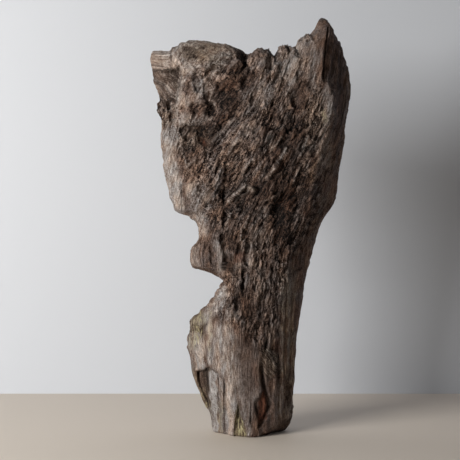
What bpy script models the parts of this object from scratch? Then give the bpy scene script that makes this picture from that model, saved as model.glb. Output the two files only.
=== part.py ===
"""A weathered piece of driftwood that stands on its sawn foot, 0.5 m tall.

It grew as one piece, so it is one solid: a round stem at the foot that flattens into a broad slab.
The skin is a loft. Its rings run round the wood from the left edge over the front to the right edge
and back behind, and they climb from the foot to the broken top edge. The front faces -Y.
Lists of sizes are in millimetres, and MM turns them into Blender's metres.
"""

import itertools
import math

import bmesh
import bpy
import numpy as np

MM = 0.001

# Driving dimensions: the outline seen from the front, in millimetres from the foot's middle.
# Left and right edges, from the foot up: (height, x).
LEFT_EDGE = [
    (0, -47), (6, -48), (16, -49), (24, -51), (31, -56), (37, -59), (47, -64), (59, -69), (69, -72),
    (87, -75),
    (97, -78), (101, -79.5), (104, -78), (110, -78.5), (118, -76.5), (125, -75.5), (131, -74), (137, -70.5),
    (140, -65), (143, -62), (147, -60.5), (150, -54.5), (154, -51.5), (160, -48.5), (163, -45), (166, -43),
    (171, -41.5), (175, -38.5), (183, -36), (187, -40), (192, -47), (195, -55), (197, -63),
    (200, -72), (208, -75), (215, -75), (223, -72), (230, -67), (237, -64), (246, -65), (253, -68),
    (259, -74),
    (263, -80), (264, -86), (268, -92), (276, -96), (290, -101), (305, -104), (323, -108), (341, -110),
    (361, -110.5), (374, -109.5), (380, -112.5), (386, -114), (392, -116.5), (398, -117), (402, -113.5),
    (407, -113), (416, -116), (426, -119.5), (437, -121), (447, -122.5), (453, -123), (459, -121.5),
]
RIGHT_EDGE = [
    (0, 38), (5, 43), (11, 46.5), (18, 48.5), (32, 50), (56, 51), (87, 52), (109, 53), (129, 56),
    (147, 59), (169, 62),
    (186, 65), (206, 70), (227, 76), (248, 82), (260, 88), (270, 96), (278, 101), (292, 104),
    (307, 105), (329, 108), (353, 112), (379, 116), (395, 119), (409, 122), (421, 122), (433, 120),
    (447, 116), (459, 112), (471, 107), (480, 102), (489, 97),
]
# Broken top edge, from the left corner over the lobe, the notches and the peak: (x, height).
TOP_EDGE = [
    (-121.5, 459), (-119, 461.5), (-110, 462), (-101, 462), (-97, 464), (-92, 467), (-84, 470), (-75, 472),
    (-65, 473), (-56, 471), (-44, 469), (-32, 467), (-17, 464), (-12, 461), (-7, 457), (0, 457),
    (4, 461), (10, 463), (17, 462), (22, 459), (26, 453), (30, 458), (34, 464), (41, 465), (48, 465),
    (52, 463), (55, 469), (57, 476), (62, 479), (65, 483), (70, 482), (74, 486), (78, 490), (80, 497),
    (85, 499.5), (89, 498.5), (92, 495), (93, 490), (97, 489),
]

# How far the wood stands in front of and behind the outline's plane, at six places from the left
# edge (0) to the right edge (1), for each height.
ACROSS = [0.06, 0.2, 0.38, 0.56, 0.74, 0.9]
HEIGHTS = [0, 38, 87, 135, 178, 220, 262, 305, 353, 402, 444, 500]
FRONT_DEPTH = [
    (31, 36, 41, 40, 37, 31),
    (26, 35, 42, 41, 37, 31),
    (12, 32, 42, 41, 36, 29),
    (11, 30, 42, 41, 35, 28),
    (26, 35, 41, 40, 35, 28),
    (16, 28, 37, 38, 33, 22),
    (15, 26, 34, 36, 33, 24),
    (14, 23, 31, 33, 31, 25),
    (12, 20, 27, 29, 29, 31),
    (8, 19, 21, 24, 28, 36),
    (9, 20, 22, 19, 27, 35),
    (9, 16, 18, 15, 19, 24),
]
BACK_DEPTH = [
    (31, 36, 40, 40, 37, 31),
    (28, 36, 40, 40, 37, 31),
    (18, 32, 39, 39, 35, 28),
    (17, 30, 38, 38, 34, 26),
    (22, 31, 36, 36, 33, 27),
    (18, 27, 33, 34, 31, 24),
    (15, 24, 29, 31, 29, 22),
    (14, 22, 27, 28, 26, 18),
    (13, 21, 25, 26, 23, 15),
    (13, 20, 23, 23, 20, 13),
    (13, 19, 21, 20, 17, 12),
    (11, 14, 16, 14, 12, 9),
]
# Where the left edge would run if no piece had broken out of it: the depths are read up to there.
UNBROKEN_LEFT = [
    (0, -46), (27, -52), (59, -69), (87, -75), (109, -79), (150, -78), (208, -76), (253, -80),
    (290, -101), (341, -110), (453, -122),
]
# How far in from each edge the wood rounds over.
LEFT_ROUND = [
    (0, 46), (40, 32), (80, 24), (130, 20), (165, 22), (200, 24), (262, 30), (340, 30), (380, 18), (453, 16),
]
RIGHT_ROUND = [
    (0, 46), (100, 40), (180, 38), (262, 36), (330, 30), (363, 26), (381, 24), (402, 27), (413, 31),
    (424, 37), (439, 34), (456, 27), (472, 18), (489, 8),
]
# How far the right side is a plain slope from its ridge to the edge instead of a round one.
RIGHT_SLOPE = [(0, 0), (170, 0), (240, 0.5), (300, 0.7), (345, 0.85), (390, 1.0), (489, 1.0)]
# How far behind the plane each edge lies: the side wing and the hollow corner sit back.
LEFT_SETBACK = [
    (0, 0), (30, 6), (60, 14), (130, 13), (165, 2), (220, 0), (350, 2), (380, 9), (440, 8), (453, 3),
]
RIGHT_SETBACK = [(0, 0), (180, 2), (280, 8), (400, 11), (489, 4)]
THINNEST = 7.0
# The outline's plane lies this far behind the middle of the wood's depth.
PLANE_Y = 1.6

# Large forms in the front: (x, height, half width, half height, lean in degrees, rise).
SWELLINGS = [
    (-55, 452, 34, 17, -4, 5.0),
    (12, 440, 13, 22, 0, 5.0),
    (-34, 404, 16, 9, 10, -2.5),
    (-18, 390, 5, 8, 10, -3.5),
    (-32, 362, 9, 17, 40, -5.0),
    (-8, 421, 5, 6, 0, -5.0),
    (-8, 452, 6, 9, 15, -6.5),
    (22, 378, 10, 15, 20, -4.0),
    (44, 373, 7, 11, 10, -4.0),
    (39, 348, 7, 7, 20, -5.0),
    (31, 268, 8, 15, 10, -7.0),
    (-33, 290, 6, 10, 30, -6.0),
    (-64, 292, 3, 5, -12, -7.0),
    (-67, 298, 7, 9, -12, -3.0),
    (-32, 253, 3.4, 9, 0, -6.0),
    (-36, 235, 3, 4.5, 0, -5.0),
    (15, 214, 4, 4.5, 0, -4.0),
    (-17, 157, 5, 8, 6, -5.0),
    (0, 122, 8, 14, 20, -4.5),
    (-26, 30, 6, 40, 0, 2.0),
    (43, 45, 3, 15, 0, -4.0),
    (-14, 118, 24, 20, 0, 2.0),
    (50, 285, 14, 24, 8, -3.0),
    (-1, 202, 9, 11, 0, 3.0),
    (2, 165, 9, 9, 0, 2.5),
    (-24, 144, 8, 8, 0, 2.0),
    (42, 179, 8, 10, 0, 2.0),
]
# Grooves and cracks: points along each as (x, height), half width, depth.
GROOVES = [
    ([(21, 462), (22, 450), (22, 438)], 3.5, 9.0),
    ([(22, 438), (19, 424)], 2.5, 4.0),
    ([(48, 468), (41, 452), (36, 447)], 2.4, 6.0),
    ([(37, 447), (31, 432), (29, 424)], 1.2, 3.0),
    ([(-15, 463), (-9, 452), (-7, 441)], 4.0, 6.0),
    ([(-82, 446), (-64, 444)], 2.2, 3.5),
    ([(-97, 456), (-96, 452), (-94, 446)], 1.5, 2.5),
    ([(59, 424), (54, 413), (49, 402), (52, 391), (50, 370)], 2.6, 4.5),
    ([(-85, 299), (-84, 264)], 1.8, 4.0),
    ([(-96, 328), (-88, 314), (-85, 300)], 2.4, 2.5),
    ([(-55, 230), (-58, 216), (-57, 204)], 1.3, 3.5),
    ([(-50, 224), (-48, 212), (-50, 198)], 1.4, 4.5),
    ([(-35, 228), (-32, 212), (-34, 194)], 2.2, 5.5),
    ([(-67, 238), (-64, 222)], 1.3, 1.5),
    ([(-6, 228), (-8, 202), (-11, 192), (-11, 165)], 1.4, 7.5),
    ([(-30, 324), (-33, 300), (-34, 280), (-33, 262)], 1.2, 5.5),
    ([(41, 190), (62, 201)], 1.2, 3.5),
    ([(-57, 143), (-58, 115), (-56, 95), (-55, 80)], 2.4, 6.0),
    ([(-47, 104), (-48, 84)], 1.4, 3.0),
    ([(-40, 73), (-40, 40), (-40, 2)], 1.2, 2.6),
    ([(-33, 66), (-33, 40), (-33, 2)], 1.3, 3.6),
    ([(-2, 38), (-2, 20)], 1.3, 3.0),
    ([(11, 84), (12, 69), (15, 57)], 2.0, 4.5),
    ([(30, 126), (31, 90), (32, 56), (30, 6)], 2.0, 3.0),
    ([(39, 60), (38, 36), (38, 22)], 1.4, 3.5),
    ([(39, 63), (44, 66), (50, 69)], 1.4, 1.4),
]
# Fibres that stand off the torn face in long bright edges.
RIDGES = [
    ([(-28, 279), (-17, 289), (-8, 296), (2, 291)], 2.1, 7.5),
    ([(-20, 279), (-12, 286), (-5, 290)], 1.3, 3.5),
    ([(17, 305), (25, 316), (36, 334), (40, 341)], 1.6, 4.5),
    ([(23, 340), (29, 347), (35, 355)], 1.5, 4.0),
    ([(-49, 348), (-38, 361), (-23, 376)], 3.0, 1.8),
    ([(9, 277), (18, 280), (27, 285)], 1.3, 2.2),
    ([(-79, 320), (-68, 329)], 1.3, 3.0),
    ([(-85, 338), (-80, 330), (-79, 318)], 1.3, 2.0),
    ([(55, 330), (62, 346), (66, 356)], 1.3, 3.0),
    ([(48, 300), (56, 318)], 1.3, 2.5),
    ([(-31, 246), (-29, 256), (-26, 264)], 1.3, 3.5),
    ([(-10, 246), (-4, 262)], 1.2, 3.0),
    ([(-14, 232), (-13, 246)], 1.2, 3.0),
    ([(-46, 296), (-40, 306), (-38, 318)], 1.3, 3.0),
    ([(-12, 310), (-6, 322), (2, 330)], 1.3, 3.0),
    ([(-30, 334), (-22, 346), (-12, 354)], 1.4, 3.0),
    ([(68, 372), (76, 392), (80, 404)], 1.4, 2.0),
    ([(40, 404), (48, 424), (54, 444)], 1.4, 2.0),
    ([(30, 410), (38, 432), (44, 452)], 1.3, 1.8),
]
# Torn edges: walking along each line, the wood on its right stands higher by rise and falls back over run.
LIPS = [
    ([(-58, 358), (-44, 372), (-33, 386)], 5.0, 22.0),
    ([(-34, 336), (-20, 352)], 3.0, 12.0),
    ([(-14, 312), (-4, 328)], 3.0, 12.0),
    ([(-60, 308), (-52, 322)], 2.5, 10.0),
    ([(36, 296), (44, 312)], 3.0, 12.0),
    ([(-4, 344), (4, 356)], 3.0, 10.0),
    ([(58, 334), (66, 352)], 2.5, 12.0),
    ([(-48, 300), (-36, 318)], 3.0, 12.0),
]
LIP_SLOPE = 3.0
# Areas that lie lower than the wood round them: an outline in (x, height), how softly it steps, the drop.
LOWERED = [
    (
        [(-98, 437), (-86, 440), (-85, 430), (-90, 413), (-91, 398), (-97, 380), (-140, 374), (-140, 437)],
        1.8, 7.5,
    ),
    ([(-51.6, 80), (-57, 77), (-67, 72), (-65, 59), (-60, 47), (-55, 37), (-51.6, 31)], 1.6, 14.0),
    ([(-51.6, 80), (-46, 79), (-40, 74), (-33, 67), (-31, 60), (-31, -5), (-51.6, -5)], 1.4, 5.0),
    ([(-17, 39), (-23, -5), (-7, -5)], 1.4, 3.5),
    ([(14.5, 58), (1.5, 41), (6.5, 12), (14, 18), (24, 38)], 1.6, 4.0),
    ([(15, 57), (24, 38), (9, 12), (17, 34)], 1.6, 3.5),
    ([(40, 58), (45, 62), (48, 54), (45, 38), (41, 24), (38, 40)], 2.0, 3.5),
    (
        [
            (-84, 443), (-72, 440), (-60, 428), (-58, 400), (-56, 372), (-90, 371), (-97, 381), (-91, 398),
            (-85, 430),
        ],
        2.0, -2.5,
    ),
    ([(-71, 428), (-66, 433), (-60, 421), (-61, 409), (-66, 406), (-70, 416)], 1.6, 3.5),
    ([(-75, 394), (-70, 399), (-63, 396), (-62, 384), (-66, 378), (-73, 381)], 3.0, 5.0),
    ([(-54, 393), (-48, 399), (-42, 392), (-43, 380), (-50, 377), (-55, 384)], 3.0, 4.0),
    ([(-86, 364), (-80, 371), (-68, 370), (-66, 360), (-72, 353), (-82, 355)], 2.5, 3.5),
    ([(-67, 366), (-60, 370), (-51, 365), (-48, 352), (-56, 344), (-65, 349)], 2.0, 4.5),
    ([(-94, 372), (-88, 379), (-72, 386), (-64, 378), (-76, 371), (-90, 362)], 2.5, -2.5),
    ([(-102, 402), (-96, 400), (-94, 388), (-97, 377), (-102, 383)], 1.5, 7.0),
]
# The back, seen through the front: long drying cracks, a knot, and a hollow where a limb was.
BACK_SWELLINGS = [
    (-22, 352, 17, 24, 12, 4.0),
    (-22, 352, 7, 10, 12, -7.0),
    (40, 300, 26, 60, 8, -4.0),
    (-62, 300, 18, 50, 0, -3.5),
    (70, 410, 18, 44, 6, -3.0),
    (6, 200, 12, 50, 4, 3.0),
    (-30, 120, 14, 36, 0, -3.0),
    (18, 60, 16, 50, 0, 2.5),
]
BACK_GROOVES = [
    ([(88, 470), (80, 400), (66, 330), (58, 262)], 3.2, 6.0),
    ([(24, 455), (20, 400), (26, 350), (20, 300)], 2.8, 7.0),
    ([(-52, 466), (-58, 410), (-56, 372)], 3.0, 6.0),
    (
        [
            (-22, 372), (-37, 364), (-41, 350), (-36, 334), (-22, 326), (-8, 332), (-3, 348), (-7, 364),
            (-22, 372),
        ],
        2.6, 3.5,
    ),
    ([(-86, 420), (-84, 340), (-78, 290)], 3.2, 4.0),
    ([(-4, 318), (0, 250), (6, 190), (4, 140)], 2.8, 5.5),
    ([(34, 250), (32, 180), (36, 96)], 2.6, 4.5),
    ([(-24, 215), (-26, 140), (-22, 70)], 3.0, 4.5),
    ([(12, 130), (14, 70), (12, 0)], 3.0, 5.0),
    ([(-34, 60), (-32, 0)], 3.0, 4.0),
    ([(36, 70), (37, 0)], 2.6, 3.5),
]
# No groove or step in the solid is narrower than this, which its faces can still follow.
NARROWEST = 2.6

# The foot's front right corner is worn away under the wood.
FOOT_WEAR = 40.0
FOOT_WEAR_HEIGHT = 17.0
FOOT_WEAR_FROM = 6.0
FOOT_WEAR_RUN = 36.0

# The drying crack down the peak: x, height, y where it ends in the wood and half width at the skin,
# at its top and at its bottom.
CRACK_TOP = (93.0, 507, 2, 2.2)
CRACK_BOTTOM = (84.3, 424, -31, 0.8)
CRACK_MOUTH = -70

# The torn face lies between two lines up the front, given as (height, x), and fades over some millimetres.
TORN_LEFT = [
    (0, 60), (79, 30), (95, 15), (108, 4), (118, -8), (132, -24), (142, -46), (152, -54), (165, -50),
    (185, -40), (205, -30), (235, -46), (262, -64), (280, -76), (310, -84), (340, -92), (362, -100),
    (380, -118), (470, -122),
]
TORN_RIGHT = [
    (0, 60), (79, 32), (110, 29), (150, 33), (200, 42), (230, 62), (262, 80), (345, 96), (400, 90), (500, 84),
]
TORN_FADE = 16.0
# How rough it is at each height, and how rough the worn wood beside it: (height, share).
TORN_SHARE = [(0, 1.0), (90, 0.8), (120, 0.7), (160, 0.75), (200, 0.85), (250, 1.0), (460, 1.0), (500, 0.6)]
CALM_SHARE = [(0, 0.16), (150, 0.16), (210, 0.28), (500, 0.28)]
# Where the front is torn, a few places are worn smoother: (x, height, half width, half height, lean, share).
WORN_PLACES = [
    (-55, 464, 44, 17, -4, 0.72),
    (-112, 452, 14, 12, 0, 0.8),
    (-78, 410, 16, 36, -4, 0.5),
    (62, 440, 26, 46, 24, 0.2),
    (8, 457, 20, 10, 0, 0.6),
    (83, 452, 12, 44, -5, 0.85),
    (-114, 424, 12, 20, 0, 0.7),
    (-50, 222, 22, 26, 0, 0.4),
    (-84, 290, 12, 30, 0, 0.5),
    (84, 300, 22, 60, 12, 0.35),
]
# Other places have a knobbly crust there instead, given in the same way.
CRUSTED_PLACES = [
    (-70, 124, 11, 20, -14, 0.6),
    (-50, 156, 10, 20, -38, 0.5),
    (-58, 225, 24, 34, 0, 0.45),
]

# Surface relief: widths across the grain and lengths along it, and how high each kind stands.
FLAKE = (8.0, 28.0)
CREST = (6.2, 26.0)
FLUTE_WIDTH = 11.0
FLUTE_LENGTH = 220.0
BILLOW = (30.0, 44.0)
FLAKE_HEIGHT = 2.3
CREST_HEIGHT = 1.2
BILLOW_HEIGHT = 2.6
FLUTE_HEIGHT = 1.3
WAVE_HEIGHT = 2.0
# The back is less torn than the front: its share of the front's roughness.
BACK_ROUGH = 0.4
SEED = 11
LATTICE = 48

# The loft's mesh, and how many of its triangles are kept.
RINGS = 190
RING_HALF = 84
KEPT_TRIANGLES = 11200
CROWN = 0.955
SAW_DEPTH = 20.0


def smooth(at, stations, values):
    """Read a smooth curve that passes its stations and never overshoots them.

    A cubic between neighbours, whose slope at a station is the harmonic mean of the slopes beside it,
    or flat where they differ in sign. values may hold one curve for each point of at.
    """
    stations = np.asarray(stations, float)
    values = np.broadcast_to(np.asarray(values, float), at.shape + stations.shape)
    gaps = np.diff(stations)
    rises = np.diff(values, axis=-1) / gaps
    before, after = rises[..., :-1], rises[..., 1:]
    same_way = before * after > 0
    total = np.where(same_way, before + after, 1.0)
    inner = np.where(same_way, 2 * before * after / total, 0.0)
    slopes = np.concatenate([rises[..., :1], inner, rises[..., -1:]], axis=-1)
    left = np.clip(np.searchsorted(stations, at, side="right") - 1, 0, len(gaps) - 1)
    step = gaps[left]
    t = np.clip((at - stations[left]) / step, 0, 1)

    def pick(source, index):
        return np.take_along_axis(source, index[..., None], axis=-1)[..., 0]

    start, end = pick(values, left), pick(values, left + 1)
    start_slope, end_slope = pick(slopes, left), pick(slopes, left + 1)
    return (
        start * (1 + 2 * t) * (1 - t) ** 2
        + start_slope * step * t * (1 - t) ** 2
        + end * t * t * (3 - 2 * t)
        - end_slope * step * t * t * (1 - t)
    )


def along(pairs, at):
    """Read a list of (station, value) pairs as a smooth curve."""
    stations, values = zip(*pairs)
    return smooth(at, stations, values)


def from_table(table, height, across):
    """Read a depth table: first up each of its columns, then across them."""
    columns = [smooth(height, HEIGHTS, column) for column in zip(*table)]
    return smooth(across, ACROSS, np.stack(columns, axis=-1))


def lattice_numbers(seed, width=1):
    """A block of repeatable random numbers that the relief reads at whole-number places."""
    return np.random.default_rng(seed).random((LATTICE, LATTICE, LATTICE, width))


def noise(places, seed):
    """Smooth noise from -1 to 1: random numbers at whole-number places, blended between them."""
    table = lattice_numbers(seed)[..., 0]
    cell = np.floor(places).astype(int)
    part = places - cell
    part = part**3 * (part * (part * 6 - 15) + 10)
    total = 0.0
    for corner in itertools.product((0, 1), repeat=3):
        index = (cell + corner) % LATTICE
        weight = np.prod(np.where(corner, part, 1 - part), axis=-1)
        total = total + weight * table[index[..., 0], index[..., 1], index[..., 2]]
    return 2 * total - 1


def flakes(places, seed):
    """Torn flakes: each place belongs to the nearest of one scattered centre for each cell.

    Returns a height that is random for each flake, tips up along the grain and rounds off at its rim.
    """
    table = lattice_numbers(seed, 4)
    cell = np.floor(places).astype(int)
    nearest = np.full(places.shape[:-1], 9.0)
    second = np.full(places.shape[:-1], 9.0)
    height = np.zeros(places.shape[:-1])
    for shift in itertools.product((-1, 0, 1), repeat=3):
        index = (cell + shift) % LATTICE
        numbers = table[index[..., 0], index[..., 1], index[..., 2]]
        offset = places - (cell + shift + 0.15 + 0.7 * numbers[..., :3])
        distance = np.linalg.norm(offset, axis=-1)
        closer = distance < nearest
        second = np.where(closer, nearest, np.minimum(second, distance))
        nearest = np.where(closer, distance, nearest)
        tipped = 1.3 * numbers[..., 3] - 0.65 + 1.1 * offset[..., 2] - 0.5 * offset[..., 0]
        height = np.where(closer, tipped, height)
    rim = np.clip((second - nearest) / 0.25, 0, 1)
    return height * (0.5 + 0.5 * rim) - 0.1 * (1 - rim)


def crested(places, seed):
    """Noise folded so that it has sharp crests and round valleys, from about -1 to 1."""
    return 1.6 * (1 - np.abs(noise(places, seed))) ** 2 - 0.8


def warped(places, width, push, seed):
    """Push places about by smooth noise, so that no pattern read at them looks laid out."""
    return places + push * np.stack([noise(places / width, seed + k) for k in range(3)], axis=-1)


def distance_to_line(x, z, points):
    """Distance from a bent line, and on which side a place lies: 1 left of it, -1 right of it."""
    best = np.full(x.shape, 1e9)
    side = np.ones(x.shape)
    for (x0, z0), (x1, z1) in itertools.pairwise(points):
        run, rise = x1 - x0, z1 - z0
        share = np.clip(((x - x0) * run + (z - z0) * rise) / (run * run + rise * rise), 0, 1)
        away = np.hypot(x - x0 - share * run, z - z0 - share * rise)
        turn = np.sign(run * (z - z0) - rise * (x - x0))
        side = np.where(away < best, turn, side)
        best = np.minimum(best, away)
    return best, side


def spot(x, z, patch):
    """A soft oval from 1 in its middle to 0 outside: patch is (x, height, half width, half height, lean)."""
    cx, cz, half_width, half_height, lean = patch
    turn = math.radians(lean)
    across = (x - cx) * math.cos(turn) - (z - cz) * math.sin(turn)
    up = (x - cx) * math.sin(turn) + (z - cz) * math.cos(turn)
    spread = (across / half_width) ** 2 + (up / half_height) ** 2
    return np.exp(-0.8 * spread * (0.5 + 0.5 * spread))


def area(x, z, corners, soft):
    """A plain outline's area: 1 well inside it, 0 outside, with a smooth step of width 2 * soft."""
    ring = [*corners, corners[0]]
    away, _ = distance_to_line(x, z, ring)
    inside = np.zeros(x.shape, bool)
    for (x0, z0), (x1, z1) in itertools.pairwise(ring):
        crosses = ((z0 > z) != (z1 > z)) & (x < x0 + (z - z0) * (x1 - x0) / ((z1 - z0) or 1e-9))
        inside ^= crosses
    ramp = np.clip(0.5 + 0.5 * np.where(inside, away, -away) / soft, 0, 1)
    return ramp * ramp * (3 - 2 * ramp)


def lip(x, z, points, run):
    """A torn edge: 1 just to the right of the line, falling to 0 over run and past the line's ends."""
    away, side = distance_to_line(x, z, points)
    (x0, z0), (x1, z1) = points[0], points[-1]
    length = math.hypot(x1 - x0, z1 - z0)
    share = ((x - x0) * (x1 - x0) + (z - z0) * (z1 - z0)) / length**2
    within = np.clip(0.5 + 4 * (0.5 - np.abs(share - 0.5)), 0, 1)
    return within * np.exp(-((away / run) ** 2)) * (side < 0) * np.clip(away / LIP_SLOPE, 0, 1)


def formed(x, z, swellings, grooves):
    """How far swellings and dents push the wood outwards, less its grooves."""
    rise = np.zeros(x.shape)
    for *patch, height in swellings:
        rise += height * spot(x, z, patch)
    for points, half_width, depth in grooves:
        away, _ = distance_to_line(x, z, points)
        rise -= depth * np.exp(-((away / max(half_width, NARROWEST)) ** 1.6))
    return rise


def front_forms(x, z):
    """The front's large forms: swellings and grooves, and its torn edges and low areas."""
    rise = formed(x, z, SWELLINGS, GROOVES)
    for points, half_width, height in RIDGES:
        away, _ = distance_to_line(x, z, points)
        rise += height * np.exp(-((away / max(half_width, NARROWEST)) ** 1.6))
    for points, height, run in LIPS:
        rise += height * lip(x, z, points, run)
    for corners, soft, drop in LOWERED:
        rise -= drop * area(x, z, corners, max(soft, NARROWEST))
    return rise


def roughness(x, z):
    """Where the front is torn into flakes: 1 in its middle, little on the worn edges and the stem."""
    inside = np.minimum(x - along(TORN_LEFT, z), along(TORN_RIGHT, z) - x)
    calm = along(CALM_SHARE, z)
    rough = calm + (1 - calm) * np.clip(inside / TORN_FADE + 0.5, 0, 1)
    rough = rough * along(TORN_SHARE, z)
    for *patch, share in WORN_PLACES:
        rough = rough * (1 - share * spot(x, z, patch))
    for *patch, share in CRUSTED_PLACES:
        rough = np.maximum(rough, share * spot(x, z, patch))
    return rough


def grain_places(points):
    """Places measured along the grain, which leans to the right in the slab's upper half."""
    x, y, z = points[..., 0], points[..., 1], points[..., 2]
    lean = along([(180, 0), (220, 5), (262, 20), (305, 41), (353, 62), (402, 82), (444, 97), (500, 112)], z)
    share = along([(-122, 0.4), (-90, 0.5), (-40, 0.8), (0, 1.0), (70, 1.0), (125, 0.72)], x)
    return np.stack([x - lean * share, y, z], axis=-1)


def relief(points, front):
    """Height of the coarse relief: flakes and billows where the wood is torn, flutes where it is worn."""
    grain = warped(grain_places(points), 16.0, 3.0, SEED + 20)
    rough = roughness(points[..., 0], points[..., 2]) * front
    flake = flakes(grain / (FLAKE[0], FLAKE[0], FLAKE[1]), SEED)
    crest = crested(grain / (CREST[0], CREST[0], CREST[1]), SEED + 50)
    billow = noise(grain / (BILLOW[0], BILLOW[0], BILLOW[1]), SEED + 1)
    flute = noise(grain / (FLUTE_WIDTH, FLUTE_WIDTH, FLUTE_LENGTH), SEED + 2)
    ridge = 1 - 2 * np.abs(flute)
    behind = noise(grain / (26, 26, 120), SEED + 3)
    torn = rough * (FLAKE_HEIGHT * flake + CREST_HEIGHT * crest + BILLOW_HEIGHT * billow)
    worn = (1 - 0.75 * rough) * (FLUTE_HEIGHT * ridge + WAVE_HEIGHT * behind)
    return torn + worn


def round_over(share):
    """A quarter circle: 0 at an edge and 1 where its rounding ends."""
    return np.sqrt(1 - (1 - np.clip(share, 0, 1)) ** 2)


def crown_share(climb):
    """How much of its depth the wood keeps at a share of the way up: it rounds off over the top edge."""
    over = np.clip((climb - CROWN) / (1 - CROWN), 0, 1)
    return np.sqrt(1 - 0.93 * over**2)


def loft(rings, half):
    """Points of the skin, ring by ring, and how much of the front's roughness each has.

    Place j of a ring goes from the left edge (0) over the front to the right edge (half) and back.
    """
    turn = np.arange(2 * half) / half
    there = np.where(turn <= 1, turn, 2 - turn)
    across = 0.62 * there + 0.38 * (1 - np.cos(math.pi * there)) / 2
    front = (turn <= 1) * 1.0
    climb = np.linspace(0, 1, rings + 1)
    climb, across = np.meshgrid(climb, across, indexing="ij")
    front = np.broadcast_to(front, climb.shape)

    top_x, top_z = np.array(TOP_EDGE, float).T
    z = climb * smooth(across, (top_x - top_x[0]) / (top_x[-1] - top_x[0]), top_z)
    left = along(LEFT_EDGE, climb * LEFT_EDGE[-1][0])
    right = along(RIGHT_EDGE, climb * RIGHT_EDGE[-1][0])
    x = left + across * (right - left)

    from_right = (right - x) / along(RIGHT_ROUND, z)
    slope = along(RIGHT_SLOPE, z) * front
    from_right = (1 - slope) * round_over(from_right) + slope * np.clip(from_right, 0, 1)
    rim = round_over((x - left) / along(LEFT_ROUND, z)) * from_right
    full = rim * crown_share(climb)
    unbroken = along(UNBROKEN_LEFT, z)
    place = np.clip((x - unbroken) / (right - unbroken), 0, 1)
    setback = (1 - place) * along(LEFT_SETBACK, z) + place * along(RIGHT_SETBACK, z)
    middle = PLANE_Y + setback * (2 * place - 1) ** 2
    face = middle - full * from_table(FRONT_DEPTH, z, place) - rim * front_forms(x, z)
    corner = np.clip((x - FOOT_WEAR_FROM) / FOOT_WEAR_RUN, 0, 1)
    face = face + rim * FOOT_WEAR * corner * np.clip(1 - z / (FOOT_WEAR_HEIGHT * corner + 1), 0, 1)
    behind = middle + full * from_table(BACK_DEPTH, z, place)
    behind = behind + rim * formed(x, z, BACK_SWELLINGS, BACK_GROOVES)
    face = np.minimum(face, behind - THINNEST * rim)
    y = np.where(front > 0, face, behind)
    behind_share = BACK_ROUGH + (1 - BACK_ROUGH) * np.clip(1 - np.minimum(x - left, right - x) / 22, 0, 1)
    return np.stack([x, y, z], axis=-1), np.where(front > 0, 1.0, behind_share)


def outward(points):
    """Unit normals of the skin, from the way to the next ring and the way round the ring."""
    up = np.gradient(points, axis=0)
    round_it = np.roll(points, -1, axis=1) - np.roll(points, 1, axis=1)
    normal = np.cross(round_it, up)
    return normal / np.maximum(np.linalg.norm(normal, axis=-1, keepdims=True), 1e-9)


def skin_mesh(name):
    """The closed skin: rings of quads, closed along the top edge and across the foot."""
    points, front = loft(RINGS, RING_HALF)
    points = points + outward(points) * relief(points, front)[..., None]
    points[0, :, 2] = -SAW_DEPTH / 4
    rings, around = points.shape[:2]
    index = np.arange(rings * around).reshape(rings, around)
    low, high = index[:-1], index[1:]
    sides = np.stack([low, np.roll(low, -1, 1), np.roll(high, -1, 1), high], axis=-1).reshape(-1, 4)
    mesh = bpy.data.meshes.new(name)
    faces = [*sides.tolist(), *closing(index[-1], 1), *closing(index[0], -1)]
    mesh.from_pydata((points.reshape(-1, 3) * MM).tolist(), [], faces)
    mesh.validate()
    mesh.shade_smooth()
    return mesh


def closing(ring, way):
    """Faces that join a ring's front to its back, place for place."""
    half = len(ring) // 2
    front, back = ring[: half + 1], np.roll(ring, -half)[: half + 1][::-1]
    faces = []
    for k in range(half):
        corners = [front[k], front[k + 1], back[k + 1], back[k]]
        corners = list(dict.fromkeys(int(c) for c in corners))
        faces.append(corners[::way])
    return faces


def make_collection(name):
    collection = bpy.data.collections.new(name)
    bpy.context.scene.collection.children.link(collection)
    return collection


def make_cutter(name, corners, collection):
    """A closed block from its eight corners, lower four first, used only to cut."""
    mesh = bpy.data.meshes.new(name)
    faces = [(0, 1, 2, 3), (7, 6, 5, 4), (0, 4, 5, 1), (1, 5, 6, 2), (2, 6, 7, 3), (3, 7, 4, 0)]
    mesh.from_pydata(corners, [], faces)
    work = bmesh.new()
    work.from_mesh(mesh)
    bmesh.ops.recalc_face_normals(work, faces=work.faces)
    work.to_mesh(mesh)
    work.free()
    cutter = bpy.data.objects.new(name, mesh)
    cutter.hide_render = True
    cutter.display_type = "WIRE"
    collection.objects.link(cutter)
    return cutter


def make_crack(collection):
    """A thin wedge down the peak, open to the front and shallower and narrower towards its bottom."""
    corners = []
    for x, z, tip, half_width in (CRACK_BOTTOM, CRACK_TOP):
        corners += [(x - half_width, CRACK_MOUTH, z), (x + half_width, CRACK_MOUTH, z)]
        corners += [(x + half_width / 4, tip, z), (x - half_width / 4, tip, z)]
    return make_cutter("peak_crack", [tuple(MM * c for c in corner) for corner in corners], collection)


def make_saw(collection):
    """The saw cut that leaves the flat foot: a block below the floor."""
    size = 200 * MM
    deep = -SAW_DEPTH * MM
    plan = [(-size, -size), (size, -size), (size, size), (-size, size)]
    return make_cutter("foot_saw", [(x, y, z) for z in (deep, 0) for x, y in plan], collection)


def weathered_wood():
    """Grey-brown weathered wood, dry and matt."""
    material = bpy.data.materials.new("weathered_wood")
    material.use_nodes = True
    shader = material.node_tree.nodes["Principled BSDF"]
    shader.inputs["Base Color"].default_value = (0.17, 0.125, 0.095, 1)
    shader.inputs["Roughness"].default_value = 0.9
    shader.inputs["Metallic"].default_value = 0.0
    return material


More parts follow.
